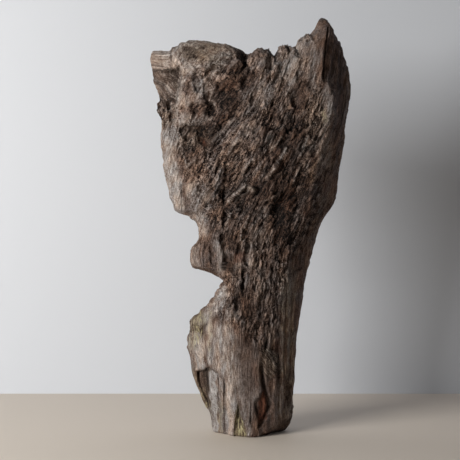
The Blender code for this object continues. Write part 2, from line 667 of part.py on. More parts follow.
def cut(wood, cutter):
    modifier = wood.modifiers.new(cutter.name, "BOOLEAN")
    modifier.operation = "DIFFERENCE"
    modifier.solver = "EXACT"
    modifier.object = cutter


def make_driftwood():
    wood = bpy.data.objects.new("driftwood", skin_mesh("driftwood"))
    make_collection("piece_of_driftwood").objects.link(wood)
    wood.data.materials.append(weathered_wood())
    thin_out = wood.modifiers.new("thin_out", "DECIMATE")
    thin_out.ratio = KEPT_TRIANGLES / (4 * RINGS * RING_HALF)
    cutters = make_collection("cutters")
    cut(wood, make_crack(cutters))
    cut(wood, make_saw(cutters))
    return wood


for leftover in list(bpy.data.objects):
    bpy.data.objects.remove(leftover)
make_driftwood()
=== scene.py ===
import itertools
import math

import bpy
import numpy as np
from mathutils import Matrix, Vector


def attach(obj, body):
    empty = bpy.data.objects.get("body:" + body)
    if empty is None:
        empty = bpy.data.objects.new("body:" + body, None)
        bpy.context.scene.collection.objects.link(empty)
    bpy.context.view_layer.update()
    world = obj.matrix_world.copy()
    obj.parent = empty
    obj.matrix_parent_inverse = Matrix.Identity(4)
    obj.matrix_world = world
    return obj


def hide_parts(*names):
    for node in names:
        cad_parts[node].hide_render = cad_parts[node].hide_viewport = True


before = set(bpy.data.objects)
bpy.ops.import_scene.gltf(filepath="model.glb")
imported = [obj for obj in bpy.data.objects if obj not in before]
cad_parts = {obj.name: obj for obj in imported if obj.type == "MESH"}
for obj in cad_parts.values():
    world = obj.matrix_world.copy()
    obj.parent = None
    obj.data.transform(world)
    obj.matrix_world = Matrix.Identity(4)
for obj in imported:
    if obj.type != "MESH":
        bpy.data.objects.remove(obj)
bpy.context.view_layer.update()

# The driftwood's shape: one grown piece of softwood, a round stem that flattens into a torn slab.
# The sea rounded its edges and ate its soft summer wood away, so the hard fibres stand in flakes.
# Its skin is a loft whose rings run round the wood and climb from the sawn foot to the broken top.

MM = 0.001

# The outline seen from the front, in millimetres from the foot's middle: (height, x) and (x, height).
LEFT_EDGE = [
    (0, -47), (6, -48), (16, -49), (24, -51), (31, -56), (37, -59), (47, -64), (59, -69), (69, -72),
    (87, -75), (97, -78), (101, -79.5), (104, -78), (110, -78.5), (118, -76.5), (125, -75.5),
    (131, -74), (137, -70.5), (140, -65), (143, -62), (147, -60.5), (150, -54.5), (154, -51.5),
    (160, -48.5), (163, -45), (166, -43), (171, -41.5), (175, -38.5), (183, -36), (187, -40),
    (192, -47), (195, -55), (197, -63), (200, -72), (208, -75), (215, -75), (223, -72), (230, -67),
    (237, -64), (246, -65), (253, -68), (259, -74), (263, -80), (264, -86), (268, -92), (276, -96),
    (290, -101), (305, -104), (323, -108), (341, -110), (361, -110.5), (374, -109.5), (380, -112.5),
    (386, -114), (392, -116.5), (398, -117), (402, -113.5), (407, -113), (416, -116), (426, -119.5),
    (437, -121), (447, -122.5), (453, -123), (459, -121.5),
]
RIGHT_EDGE = [
    (0, 38), (5, 43), (11, 46.5), (18, 48.5), (32, 50), (56, 51), (87, 52), (109, 53), (129, 56),
    (147, 59), (169, 62), (186, 65), (206, 70), (227, 76), (248, 82), (260, 88), (270, 96), (278, 101),
    (292, 104), (307, 105), (329, 108), (353, 112), (379, 116), (395, 119), (409, 122), (421, 122),
    (433, 120), (447, 116), (459, 112), (471, 107), (480, 102), (489, 97),
]
TOP_EDGE = [
    (-121.5, 459), (-119, 461.5), (-110, 462), (-101, 462), (-97, 464), (-92, 467), (-84, 470), (-75, 472),
    (-65, 473), (-56, 471), (-44, 469), (-32, 467), (-17, 464), (-12, 461), (-7, 457), (0, 457),
    (4, 461), (10, 463), (17, 462), (22, 459), (26, 453), (30, 458), (34, 464), (41, 465), (48, 465),
    (52, 463), (55, 469), (57, 476), (62, 479), (65, 483), (70, 482), (74, 486), (78, 490), (80, 497),
    (85, 499.5), (89, 498.5), (92, 495), (93, 490), (97, 489),
]

# How far the wood stands in front of and behind the outline's plane, across and up it.
ACROSS = [0.06, 0.2, 0.38, 0.56, 0.74, 0.9]
HEIGHTS = [0, 38, 87, 135, 178, 220, 262, 305, 353, 402, 444, 500]
FRONT_DEPTH = [
    (31, 36, 41, 40, 37, 31),
    (26, 35, 42, 41, 37, 31),
    (12, 32, 42, 41, 36, 29),
    (11, 30, 42, 41, 35, 28),
    (26, 35, 41, 40, 35, 28),
    (16, 28, 37, 38, 33, 22),
    (15, 26, 34, 36, 33, 24),
    (14, 23, 31, 33, 31, 25),
    (12, 20, 27, 29, 29, 31),
    (8, 19, 21, 24, 28, 36),
    (9, 20, 22, 19, 27, 35),
    (9, 16, 18, 15, 19, 24),
]
BACK_DEPTH = [
    (31, 36, 40, 40, 37, 31),
    (28, 36, 40, 40, 37, 31),
    (18, 32, 39, 39, 35, 28),
    (17, 30, 38, 38, 34, 26),
    (22, 31, 36, 36, 33, 27),
    (18, 27, 33, 34, 31, 24),
    (15, 24, 29, 31, 29, 22),
    (14, 22, 27, 28, 26, 18),
    (13, 21, 25, 26, 23, 15),
    (13, 20, 23, 23, 20, 13),
    (13, 19, 21, 20, 17, 12),
    (11, 14, 16, 14, 12, 9),
]
# The left edge as it ran before the wood broke away there: the depths are spread from it.
UNBROKEN_LEFT = [
    (0, -46), (27, -52), (59, -69), (87, -75), (109, -79), (150, -78), (208, -76), (253, -80),
    (290, -101), (341, -110), (453, -122),
]
# Over how many millimetres the wood rounds off towards each edge: (height, width).
LEFT_ROUND = [
    (0, 46), (40, 32), (80, 24), (130, 20), (165, 22), (200, 24), (262, 30), (340, 30), (380, 18), (453, 16),
]
RIGHT_ROUND = [
    (0, 46), (100, 40), (180, 38), (262, 36), (330, 30), (363, 26), (381, 24), (402, 27), (413, 31),
    (424, 37), (439, 34), (456, 27), (472, 18), (489, 8),
]
# How far the right side is a plain slope from its ridge to the edge instead of a round one.
RIGHT_SLOPE = [(0, 0), (170, 0), (240, 0.5), (300, 0.7), (345, 0.85), (390, 1.0), (489, 1.0)]
# How far each edge lies behind the outline's plane: (height, distance).
LEFT_SETBACK = [
    (0, 0), (30, 6), (60, 14), (130, 13), (165, 2), (220, 0), (350, 2), (380, 9), (440, 8), (453, 3),
]
RIGHT_SETBACK = [(0, 0), (180, 2), (280, 8), (400, 11), (489, 4)]
# The least thickness of the wood, and where the outline's plane stands.
THINNEST = 7.0
PLANE_Y = 1.6
# The back's middle has this share of the front's roughness, and gains the rest towards its edges.
BACK_ROUGH = 0.4
BACK_FADE = 22.0
# The share of the way up at which the top begins to round off, and how much it takes off there.
CROWN = 0.955
CROWN_LOSS = 0.93

# Large forms in the front: (x, height, half width, half height, lean in degrees, rise).
SWELLINGS = [
    (-55, 452, 34, 17, -4, 5.0),
    (12, 440, 13, 22, 0, 5.0),
    (-34, 404, 16, 9, 10, -2.5),
    (-18, 390, 5, 8, 10, -3.5),
    (-32, 362, 9, 17, 40, -5.0),
    (-8, 421, 5, 6, 0, -5.0),
    (-8, 452, 6, 9, 15, -6.5),
    (22, 378, 10, 15, 20, -4.0),
    (44, 373, 7, 11, 10, -4.0),
    (39, 348, 7, 7, 20, -5.0),
    (31, 268, 8, 15, 10, -7.0),
    (-33, 290, 6, 10, 30, -6.0),
    (-64, 292, 3, 5, -12, -7.0),
    (-67, 298, 7, 9, -12, -3.0),
    (-32, 253, 3.4, 9, 0, -6.0),
    (-36, 235, 3, 4.5, 0, -5.0),
    (15, 214, 4, 4.5, 0, -4.0),
    (-17, 157, 5, 8, 6, -5.0),
    (0, 122, 8, 14, 20, -4.5),
    (-26, 30, 6, 40, 0, 2.0),
    (43, 45, 3, 15, 0, -4.0),
    (-14, 118, 24, 20, 0, 2.0),
    (50, 285, 14, 24, 8, -3.0),
    (-1, 202, 9, 11, 0, 3.0),
    (2, 165, 9, 9, 0, 2.5),
    (-24, 144, 8, 8, 0, 2.0),
    (42, 179, 8, 10, 0, 2.0),
]
# Grooves and cracks: a line down the middle, about half its width, and its depth.
GROOVES = [
    ([(21, 462), (22, 450), (22, 438)], 3.5, 9.0),
    ([(22, 438), (19, 424)], 2.5, 4.0),
    ([(48, 468), (41, 452), (36, 447)], 2.4, 6.0),
    ([(37, 447), (31, 432), (29, 424)], 1.2, 3.0),
    ([(-15, 463), (-9, 452), (-7, 441)], 4.0, 6.0),
    ([(-82, 446), (-64, 444)], 2.2, 3.5),
    ([(-97, 456), (-96, 452), (-94, 446)], 1.5, 2.5),
    ([(59, 424), (54, 413), (49, 402), (52, 391), (50, 370)], 2.6, 4.5),
    ([(-85, 299), (-84, 264)], 1.8, 4.0),
    ([(-96, 328), (-88, 314), (-85, 300)], 2.4, 2.5),
    ([(-55, 230), (-58, 216), (-57, 204)], 1.3, 3.5),
    ([(-50, 224), (-48, 212), (-50, 198)], 1.4, 4.5),
    ([(-35, 228), (-32, 212), (-34, 194)], 2.2, 5.5),
    ([(-67, 238), (-64, 222)], 1.3, 1.5),
    ([(-6, 228), (-8, 202), (-11, 192), (-11, 165)], 1.4, 7.5),
    ([(-30, 324), (-33, 300), (-34, 280), (-33, 262)], 1.2, 4.0),
    ([(41, 190), (62, 201)], 1.2, 3.5),
    ([(-57, 143), (-58, 115), (-56, 95), (-55, 80)], 2.4, 6.0),
    ([(-47, 104), (-48, 84)], 1.4, 3.0),
    ([(-40, 73), (-40, 40), (-40, 2)], 1.2, 2.6),
    ([(-33, 66), (-33, 40), (-33, 2)], 1.3, 3.6),
    ([(-2, 38), (-2, 20)], 1.3, 3.0),
    ([(11, 84), (12, 69), (15, 57)], 2.0, 4.5),
    ([(30, 126), (31, 90), (32, 56), (30, 6)], 2.0, 3.0),
    ([(39, 60), (38, 36), (38, 22)], 1.4, 3.5),
    ([(39, 63), (44, 66), (50, 69)], 1.4, 1.4),
    ([(40, 180), (39, 120), (38, 74)], 1.0, 1.8),
    ([(48, 196), (47, 140), (46, 80)], 1.0, 1.4),
    ([(90.7, 486), (88.5, 472), (86.4, 456), (84.8, 439), (84.3, 424)], 0.6, 6.5),
]
# Fibres that stand off the torn face in long bright edges.
RIDGES = [
    ([(-28, 279), (-17, 289), (-8, 296), (2, 291)], 2.1, 7.5),
    ([(-20, 279), (-12, 286), (-5, 290)], 1.3, 3.5),
    ([(17, 305), (25, 316), (36, 334), (40, 341)], 1.6, 4.5),
    ([(23, 340), (29, 347), (35, 355)], 1.5, 4.0),
    ([(-49, 348), (-38, 361), (-23, 376)], 3.0, 1.8),
    ([(9, 277), (18, 280), (27, 285)], 1.3, 2.2),
    ([(-79, 320), (-68, 329)], 1.3, 3.0),
    ([(-85, 338), (-80, 330), (-79, 318)], 1.3, 2.0),
    ([(55, 330), (62, 346), (66, 356)], 1.3, 3.0),
    ([(48, 300), (56, 318)], 1.3, 2.5),
    ([(-31, 246), (-29, 256), (-26, 264)], 1.3, 3.5),
    ([(-10, 246), (-4, 262)], 1.2, 3.0),
    ([(-14, 232), (-13, 246)], 1.2, 3.0),
    ([(-46, 296), (-40, 306), (-38, 318)], 1.3, 3.0),
    ([(-12, 310), (-6, 322), (2, 330)], 1.3, 3.0),
    ([(-30, 334), (-22, 346), (-12, 354)], 1.4, 3.0),
    ([(68, 372), (76, 392), (80, 404)], 1.4, 2.0),
    ([(40, 404), (48, 424), (54, 444)], 1.4, 2.0),
    ([(30, 410), (38, 432), (44, 452)], 1.3, 1.8),
]
# Between them run shorter fibres and cracks, drawn at random along the grain. Each range is for the start
# across and up the wood, the length, half width and height, the lean in radians, and the bend.
FIBRES = 130
FIBRE_ACROSS = (-90, 85)
FIBRE_UP = (150, 440)
FIBRE_LENGTH = (7.0, 22.0)
FIBRE_WIDTH = (0.8, 1.3)
FIBRE_HEIGHT = (-3.2, 3.2)
FIBRE_LEAN = (-0.1, 0.3)
FIBRE_BEND = (-1.5, 1.5)
# Torn edges: walking along each line, the wood on its right stands higher by rise and falls back over run.
LIPS = [
    ([(-58, 358), (-44, 372), (-33, 386)], 5.0, 22.0),
    ([(-34, 336), (-20, 352)], 3.0, 12.0),
    ([(-14, 312), (-4, 328)], 3.0, 12.0),
    ([(-60, 308), (-52, 322)], 2.5, 10.0),
    ([(36, 296), (44, 312)], 3.0, 12.0),
    ([(-4, 344), (4, 356)], 3.0, 10.0),
    ([(58, 334), (66, 352)], 2.5, 12.0),
    ([(-48, 300), (-36, 318)], 3.0, 12.0),
]
# Each climbs from its line to that height over this distance.
LIP_SLOPE = 1.6
# Areas that lie lower than the wood round them: an outline in (x, height), how softly it steps, the drop.
LOWERED = [
    (
        [(-98, 437), (-86, 440), (-85, 430), (-90, 413), (-91, 398), (-97, 380), (-140, 374), (-140, 437)],
        1.8, 7.5,
    ),
    ([(-51.6, 80), (-57, 77), (-67, 72), (-65, 59), (-60, 47), (-55, 37), (-51.6, 31)], 1.6, 14.0),
    ([(-51.6, 80), (-46, 79), (-40, 74), (-33, 67), (-31, 60), (-31, -5), (-51.6, -5)], 1.4, 5.0),
    ([(-17, 39), (-23, -5), (-7, -5)], 1.4, 3.5),
    ([(14.5, 58), (1.5, 41), (6.5, 12), (14, 18), (24, 38)], 1.6, 4.0),
    ([(15, 57), (24, 38), (9, 12), (17, 34)], 1.6, 3.5),
    ([(40, 58), (45, 62), (48, 54), (45, 38), (41, 24), (38, 40)], 2.0, 3.5),
    (
        [
            (-84, 443), (-72, 440), (-60, 428), (-58, 400), (-56, 372), (-90, 371), (-97, 381), (-91, 398),
            (-85, 430),
        ],
        2.0, -2.5,
    ),
    ([(-71, 428), (-66, 433), (-60, 421), (-61, 409), (-66, 406), (-70, 416)], 1.6, 3.5),
    ([(-75, 394), (-70, 399), (-63, 396), (-62, 384), (-66, 378), (-73, 381)], 3.0, 5.0),
    ([(-54, 393), (-48, 399), (-42, 392), (-43, 380), (-50, 377), (-55, 384)], 3.0, 4.0),
    ([(-86, 364), (-80, 371), (-68, 370), (-66, 360), (-72, 353), (-82, 355)], 2.5, 3.5),
    ([(-67, 366), (-60, 370), (-51, 365), (-48, 352), (-56, 344), (-65, 349)], 2.0, 4.5),
    ([(-94, 372), (-88, 379), (-72, 386), (-64, 378), (-76, 371), (-90, 362)], 2.5, -2.5),
    ([(-102, 402), (-96, 400), (-94, 388), (-97, 377), (-102, 383)], 1.5, 7.0),
]
# The torn face lies between two lines up the front, given as (height, x), and fades over some millimetres.
TORN_LEFT = [
    (0, 60), (79, 30), (95, 15), (108, 4), (118, -8), (132, -24), (142, -46), (152, -54), (165, -50),
    (185, -40), (205, -30), (235, -46), (262, -64), (280, -76), (310, -84), (340, -92), (362, -100),
    (380, -118), (470, -122),
]
TORN_RIGHT = [
    (0, 60), (79, 32), (110, 29), (150, 33), (200, 42), (230, 62), (262, 80), (345, 96), (400, 90),
    (500, 84),
]
TORN_FADE = 16.0
# How rough it is at each height, and how rough the worn wood beside it: (height, share).
TORN_SHARE = [(0, 1.0), (90, 0.8), (120, 0.7), (160, 0.75), (200, 0.85), (250, 1.0), (460, 1.0), (500, 0.6)]
CALM_SHARE = [(0, 0.16), (150, 0.16), (210, 0.28), (500, 0.28)]
# Where the front is torn, a few places are worn smoother: (x, height, half width, half height, lean, share).
WORN_PLACES = [
    (-55, 464, 44, 17, -4, 0.72),
    (-112, 452, 14, 12, 0, 0.8),
    (-78, 410, 16, 36, -4, 0.5),
    (62, 440, 26, 46, 24, 0.2),
    (8, 457, 20, 10, 0, 0.6),
    (83, 452, 12, 44, -5, 0.85),
    (-114, 424, 12, 20, 0, 0.7),
    (-50, 222, 22, 26, 0, 0.4),
    (-84, 290, 12, 30, 0, 0.5),
    (84, 300, 22, 60, 12, 0.35),
]
# Other places have a knobbly crust there instead, given in the same way.
CRUSTED_PLACES = [
    (-70, 124, 11, 20, -14, 0.6),
    (-50, 156, 10, 20, -38, 0.5),
    (-58, 225, 24, 34, 0, 0.45),
]
# The back, seen through the front: long drying cracks, a knot, and a hollow where a limb was.
BACK_SWELLINGS = [
    (-22, 352, 17, 24, 12, 4.0),
    (-22, 352, 7, 10, 12, -7.0),
    (40, 300, 26, 60, 8, -4.0),
    (-62, 300, 18, 50, 0, -3.5),
    (70, 410, 18, 44, 6, -3.0),
    (6, 200, 12, 50, 4, 3.0),
    (-30, 120, 14, 36, 0, -3.0),
    (18, 60, 16, 50, 0, 2.5),
]
BACK_GROOVES = [
    ([(88, 470), (80, 400), (66, 330), (58, 262)], 3.2, 6.0),
    ([(24, 455), (20, 400), (26, 350), (20, 300)], 2.8, 7.0),
    ([(-52, 466), (-58, 410), (-56, 372)], 3.0, 6.0),
    (
        [
            (-22, 372), (-37, 364), (-41, 350), (-36, 334), (-22, 326), (-8, 332), (-3, 348), (-7, 364),
            (-22, 372),
        ],
        2.6, 3.5,
    ),
    ([(-86, 420), (-84, 340), (-78, 290)], 3.2, 4.0),
    ([(-4, 318), (0, 250), (6, 190), (4, 140)], 2.8, 5.5),
    ([(34, 250), (32, 180), (36, 96)], 2.6, 4.5),
    ([(-24, 215), (-26, 140), (-22, 70)], 3.0, 4.5),
    ([(12, 130), (14, 70), (12, 0)], 3.0, 5.0),
    ([(-34, 60), (-32, 0)], 3.0, 4.0),
    ([(36, 70), (37, 0)], 2.6, 3.5),
]
# The foot's front right corner is worn away under the wood.
FOOT_WEAR = 40.0
FOOT_WEAR_HEIGHT = 17.0
FOOT_WEAR_FROM = 6.0
FOOT_WEAR_RUN = 36.0
FOOT_EDGE = 2.5

# The relief's patterns, in millimetres across, through and along the grain, and then their heights.
FLAKE = (8.0, 8.0, 28.0)
CHIP = (3.8, 3.8, 13.0)
SPLINTER = (2.2, 2.2, 11.0)
FLUTE = (11.0, 11.0, 220.0)
BILLOW = (30.0, 30.0, 44.0)
WAVE = (26.0, 26.0, 120.0)
PIT = (3.6, 3.6, 15.0)
CRESTS = [((5.0, 5.0, 40.0), 0.3), ((3.0, 3.0, 24.0), 0.35), ((1.9, 1.9, 15.2), 0.35)]
FLAKE_HEIGHT = 2.6
CHIP_HEIGHT = 2.3
SPLINTER_HEIGHT = 1.3
CREST_HEIGHT = 2.0
PIT_DEPTH = 1.0
BILLOW_HEIGHT = 2.6
FLUTE_HEIGHT = 1.3
WAVE_HEIGHT = 2.0
# The grain wavers: the size of its bends and how far they push it, first for the flakes, then for the rest.
GRAIN_BENDS = (16.0, 3.0)
FINE_BENDS = (5.0, 1.4)
# The chips are rougher in some places than in others, about this far apart.
UNEVEN = 20.0
# How far the grain runs to the right of upright, at each height, and how much of that at each x.
GRAIN_LEAN = [(180, 0), (220, 5), (262, 20), (305, 41), (353, 62), (402, 82), (444, 97), (500, 112)]
GRAIN_SHARE = [(-122, 0.4), (-90, 0.5), (-40, 0.8), (0, 1.0), (70, 1.0), (125, 0.72)]
# All random draws start from this seed, and the noise repeats after so many cells each way.
SEED = 11
LATTICE = 48

# The loft's rings, and the steps of each over the front and the back.
RINGS = 310
FRONT_STEPS = 240
BACK_STEPS = 80


def smooth(at, stations, values):
    """Read a smooth curve that passes its stations and never overshoots them.

    A cubic between neighbours, whose slope at a station is the harmonic mean of the slopes beside it,
    or flat where they differ in sign. values may hold one curve for each point of at.
    """
    stations = np.asarray(stations, float)
    values = np.broadcast_to(np.asarray(values, float), at.shape + stations.shape)
    gaps = np.diff(stations)
    rises = np.diff(values, axis=-1) / gaps
    before, after = rises[..., :-1], rises[..., 1:]
    same_way = before * after > 0
    total = np.where(same_way, before + after, 1.0)
    inner = np.where(same_way, 2 * before * after / total, 0.0)
    slopes = np.concatenate([rises[..., :1], inner, rises[..., -1:]], axis=-1)
    left = np.clip(np.searchsorted(stations, at, side="right") - 1, 0, len(gaps) - 1)
    step = gaps[left]
    t = np.clip((at - stations[left]) / step, 0, 1)

    def pick(source, index):
        return np.take_along_axis(source, index[..., None], axis=-1)[..., 0]

    start, end = pick(values, left), pick(values, left + 1)
    start_slope, end_slope = pick(slopes, left), pick(slopes, left + 1)
    return (
        start * (1 + 2 * t) * (1 - t) ** 2
        + start_slope * step * t * (1 - t) ** 2
        + end * t * t * (3 - 2 * t)
        - end_slope * step * t * t * (1 - t)
    )


def along(pairs, at):
    """Read a list of (station, value) pairs as a smooth curve."""
    stations, values = zip(*pairs)
    return smooth(at, stations, values)


def from_table(table, height, across):
    """Read a depth table: first up each of its columns, then across them."""
    columns = [smooth(height, HEIGHTS, column) for column in zip(*table)]
    return smooth(across, ACROSS, np.stack(columns, axis=-1))


def lattice_numbers(seed, width=1):
    """A block of repeatable random numbers that the relief reads at whole-number places."""
    return np.random.default_rng(seed).random((LATTICE, LATTICE, LATTICE, width))


def noise(places, seed):
    """Smooth noise from -1 to 1: random numbers at whole-number places, blended between them."""
    table = lattice_numbers(seed)[..., 0]
    cell = np.floor(places).astype(int)
    part = places - cell
    part = part**3 * (part * (part * 6 - 15) + 10)
    total = 0.0
    for corner in itertools.product((0, 1), repeat=3):
        index = (cell + corner) % LATTICE
        weight = np.prod(np.where(corner, part, 1 - part), axis=-1)
        total = total + weight * table[index[..., 0], index[..., 1], index[..., 2]]
    return 2 * total - 1


def crested(places, seed):
    """Noise folded so that it has sharp crests and round valleys, from about -1 to 1."""
    return 1.6 * (1 - np.abs(noise(places, seed))) ** 2 - 0.8


def flakes(places, seed):
    """Torn flakes: each place belongs to the nearest of one scattered centre for each cell.

    Returns a height that is random for each flake, tips up along the grain and rounds off at its rim.
    """
    table = lattice_numbers(seed, 4)
    cell = np.floor(places).astype(int)
    nearest = np.full(places.shape[:-1], 9.0)
    second = np.full(places.shape[:-1], 9.0)
    height = np.zeros(places.shape[:-1])
    for shift in itertools.product((-1, 0, 1), repeat=3):
        index = (cell + shift) % LATTICE
        numbers = table[index[..., 0], index[..., 1], index[..., 2]]
        offset = places - (cell + shift + 0.15 + 0.7 * numbers[..., :3])
        distance = np.linalg.norm(offset, axis=-1)
        closer = distance < nearest
        second = np.where(closer, nearest, np.minimum(second, distance))
        nearest = np.where(closer, distance, nearest)
        tipped = 1.3 * numbers[..., 3] - 0.65 + 1.1 * offset[..., 2] - 0.5 * offset[..., 0]
        height = np.where(closer, tipped, height)
    rim = np.clip((second - nearest) / 0.12, 0, 1)
    return height * (0.5 + 0.5 * rim) - 0.1 * (1 - rim)


def warped(places, width, push, seed):
    """Push places about by smooth noise, so that no pattern read at them looks laid out."""
    return places + push * np.stack([noise(places / width, seed + k) for k in range(3)], axis=-1)


def distance_to_line(x, z, points):
    """Distance from a bent line, and on which side a place lies: 1 left of it, -1 right of it."""
    best = np.full(x.shape, 1e9)
    side = np.ones(x.shape)
    for (x0, z0), (x1, z1) in itertools.pairwise(points):
        run, rise = x1 - x0, z1 - z0
        share = np.clip(((x - x0) * run + (z - z0) * rise) / (run * run + rise * rise), 0, 1)
        away = np.hypot(x - x0 - share * run, z - z0 - share * rise)
        turn = np.sign(run * (z - z0) - rise * (x - x0))
        side = np.where(away < best, turn, side)
        best = np.minimum(best, away)
    return best, side


def furrow(x, z, points, half_width):
    """A groove's or a ridge's section: 1 on a bent line, falling to 0 past half_width on either side."""
    away, _ = distance_to_line(x, z, points)
    return np.exp(-((away / half_width) ** 1.6))


def spot(x, z, patch):
    """A soft oval from 1 in its middle to 0 outside: patch is (x, height, half width, half height, lean)."""
    cx, cz, half_width, half_height, lean = patch
    turn = math.radians(lean)
    across = (x - cx) * math.cos(turn) - (z - cz) * math.sin(turn)
    up = (x - cx) * math.sin(turn) + (z - cz) * math.cos(turn)
    spread = (across / half_width) ** 2 + (up / half_height) ** 2
    return np.exp(-0.8 * spread * (0.5 + 0.5 * spread))


def area(x, z, corners, soft):
    """A plain outline's area: 1 well inside it, 0 outside, with a smooth step of width 2 * soft."""
    ring = [*corners, corners[0]]
    away, _ = distance_to_line(x, z, ring)
    inside = np.zeros(x.shape, bool)
    for (x0, z0), (x1, z1) in itertools.pairwise(ring):
        crosses = ((z0 > z) != (z1 > z)) & (x < x0 + (z - z0) * (x1 - x0) / ((z1 - z0) or 1e-9))
        inside ^= crosses
    ramp = np.clip(0.5 + 0.5 * np.where(inside, away, -away) / soft, 0, 1)
    return ramp * ramp * (3 - 2 * ramp)


def lip(x, z, points, run):
    """A torn edge: 1 just to the right of the line, falling to 0 over run and past the line's ends."""
    away, side = distance_to_line(x, z, points)
    (x0, z0), (x1, z1) = points[0], points[-1]
    length = math.hypot(x1 - x0, z1 - z0)
    share = ((x - x0) * (x1 - x0) + (z - z0) * (z1 - z0)) / length**2
    within = np.clip(0.5 + 4 * (0.5 - np.abs(share - 0.5)), 0, 1)
    return within * np.exp(-((away / run) ** 2)) * (side < 0) * np.clip(away / LIP_SLOPE, 0, 1)


def formed(x, z, swellings, grooves):
    """How far swellings and dents push the wood outwards, less its grooves."""
    rise = np.zeros(x.shape)
    for *patch, height in swellings:
        rise += height * spot(x, z, patch)
    for points, half_width, depth in grooves:
        rise -= depth * furrow(x, z, points, half_width)
    return rise


def loose_fibres(x, z):
    """Short raised fibres and cracks, from seeded draws. They lean more in the slab, as its grain does."""
    draw = np.random.default_rng(SEED + 9)
    rise = np.zeros(x.shape)
    for _ in range(FIBRES):
        from_x, from_z = draw.uniform(*FIBRE_ACROSS), draw.uniform(*FIBRE_UP)
        length, half_width = draw.uniform(*FIBRE_LENGTH), draw.uniform(*FIBRE_WIDTH)
        height, lean = draw.uniform(*FIBRE_HEIGHT), draw.uniform(*FIBRE_LEAN)
        lean += 0.4 * float(np.clip((from_z - 200) / 100, 0, 1))
        to_x, to_z = from_x + length * math.sin(lean), from_z + length * math.cos(lean)
        bent = (0.5 * (from_x + to_x) + draw.uniform(*FIBRE_BEND), 0.5 * (from_z + to_z))
        rise += height * furrow(x, z, [(from_x, from_z), bent, (to_x, to_z)], half_width)
    return rise * np.clip(1.6 * roughness(x, z) - 0.6, 0, 1)


def ridges(x, z):
    """How high the long fibres stand off the torn face."""
    rise = np.zeros(x.shape)
    for points, half_width, height in RIDGES:
        rise = np.maximum(rise, height * furrow(x, z, points, half_width))
    return rise


def front_forms(x, z):
    """The front's own forms, added up: swellings, grooves, long and short fibres, torn edges, low areas."""
    rise = formed(x, z, SWELLINGS, GROOVES) + ridges(x, z) + loose_fibres(x, z)
    for points, height, run in LIPS:
        rise += height * lip(x, z, points, run)
    for corners, soft, drop in LOWERED:
        rise -= drop * area(x, z, corners, soft)
    return rise


def roughness(x, z):
    """Where the front is torn into flakes: 1 in its middle, little on the worn edges and the stem."""
    inside = np.minimum(x - along(TORN_LEFT, z), along(TORN_RIGHT, z) - x)
    calm = along(CALM_SHARE, z)
    rough = calm + (1 - calm) * np.clip(inside / TORN_FADE + 0.5, 0, 1)
    rough = rough * along(TORN_SHARE, z)
    for *patch, share in WORN_PLACES:
        rough = rough * (1 - share * spot(x, z, patch))
    for *patch, share in CRUSTED_PLACES:
        rough = np.maximum(rough, share * spot(x, z, patch))
    return rough


def grain_places(points):
    """Places measured along the grain, which leans to the right in the slab's upper half."""
    x, y, z = points[..., 0], points[..., 1], points[..., 2]
    return np.stack([x - along(GRAIN_LEAN, z) * along(GRAIN_SHARE, x), y, z], axis=-1)


def relief(points, front):
    """Height of the relief: flakes, chips and billows where the wood is torn, flutes where it is worn.

    Each pattern is scattered cells or noise at places divided by its size. Returned with the height are
    how rough each place is and how far it stands up among the torn fibres, as a plain number.
    """
    grain = warped(grain_places(points), *GRAIN_BENDS, SEED + 20)
    fine = warped(grain, *FINE_BENDS, SEED + 30)
    rough = roughness(points[..., 0], points[..., 2]) * front
    flake = flakes(grain / FLAKE, SEED)
    chip = flakes(fine / CHIP, SEED + 4)
    splinter = flakes(fine / SPLINTER, SEED + 8)
    crest = sum(share * crested(fine / size, SEED + 50 + k) for k, (size, share) in enumerate(CRESTS))
    pits = np.clip(2.6 * noise(fine / PIT, SEED + 7) - 0.9, 0, 1)
    flute = 1 - 2 * np.abs(noise(grain / FLUTE, SEED + 2))
    billow, wave = noise(grain / BILLOW, SEED + 1), noise(grain / WAVE, SEED + 3)
    uneven = 0.75 + 0.5 * noise(grain / UNEVEN, SEED + 6)
    torn = rough * (FLAKE_HEIGHT * flake + BILLOW_HEIGHT * billow)
    torn = torn + rough * uneven * (CHIP_HEIGHT * chip + CREST_HEIGHT * crest - PIT_DEPTH * pits)
    torn = torn + rough * SPLINTER_HEIGHT * splinter
    worn = (1 - 0.75 * rough) * (FLUTE_HEIGHT * flute + WAVE_HEIGHT * wave)
    standing = 0.6 * flake + 0.6 * chip + 0.5 * splinter + 0.8 * crest - 0.5 * pits
    return torn + worn, rough, standing


def round_over(share):
    """A quarter circle: 0 at an edge and 1 where its rounding ends."""
    return np.sqrt(1 - (1 - np.clip(share, 0, 1)) ** 2)


def crown_share(climb):
    """How much of its depth the wood keeps at a share of the way up: it rounds off over the top edge."""
    over = np.clip((climb - CROWN) / (1 - CROWN), 0, 1)
    return np.sqrt(1 - CROWN_LOSS * over**2)


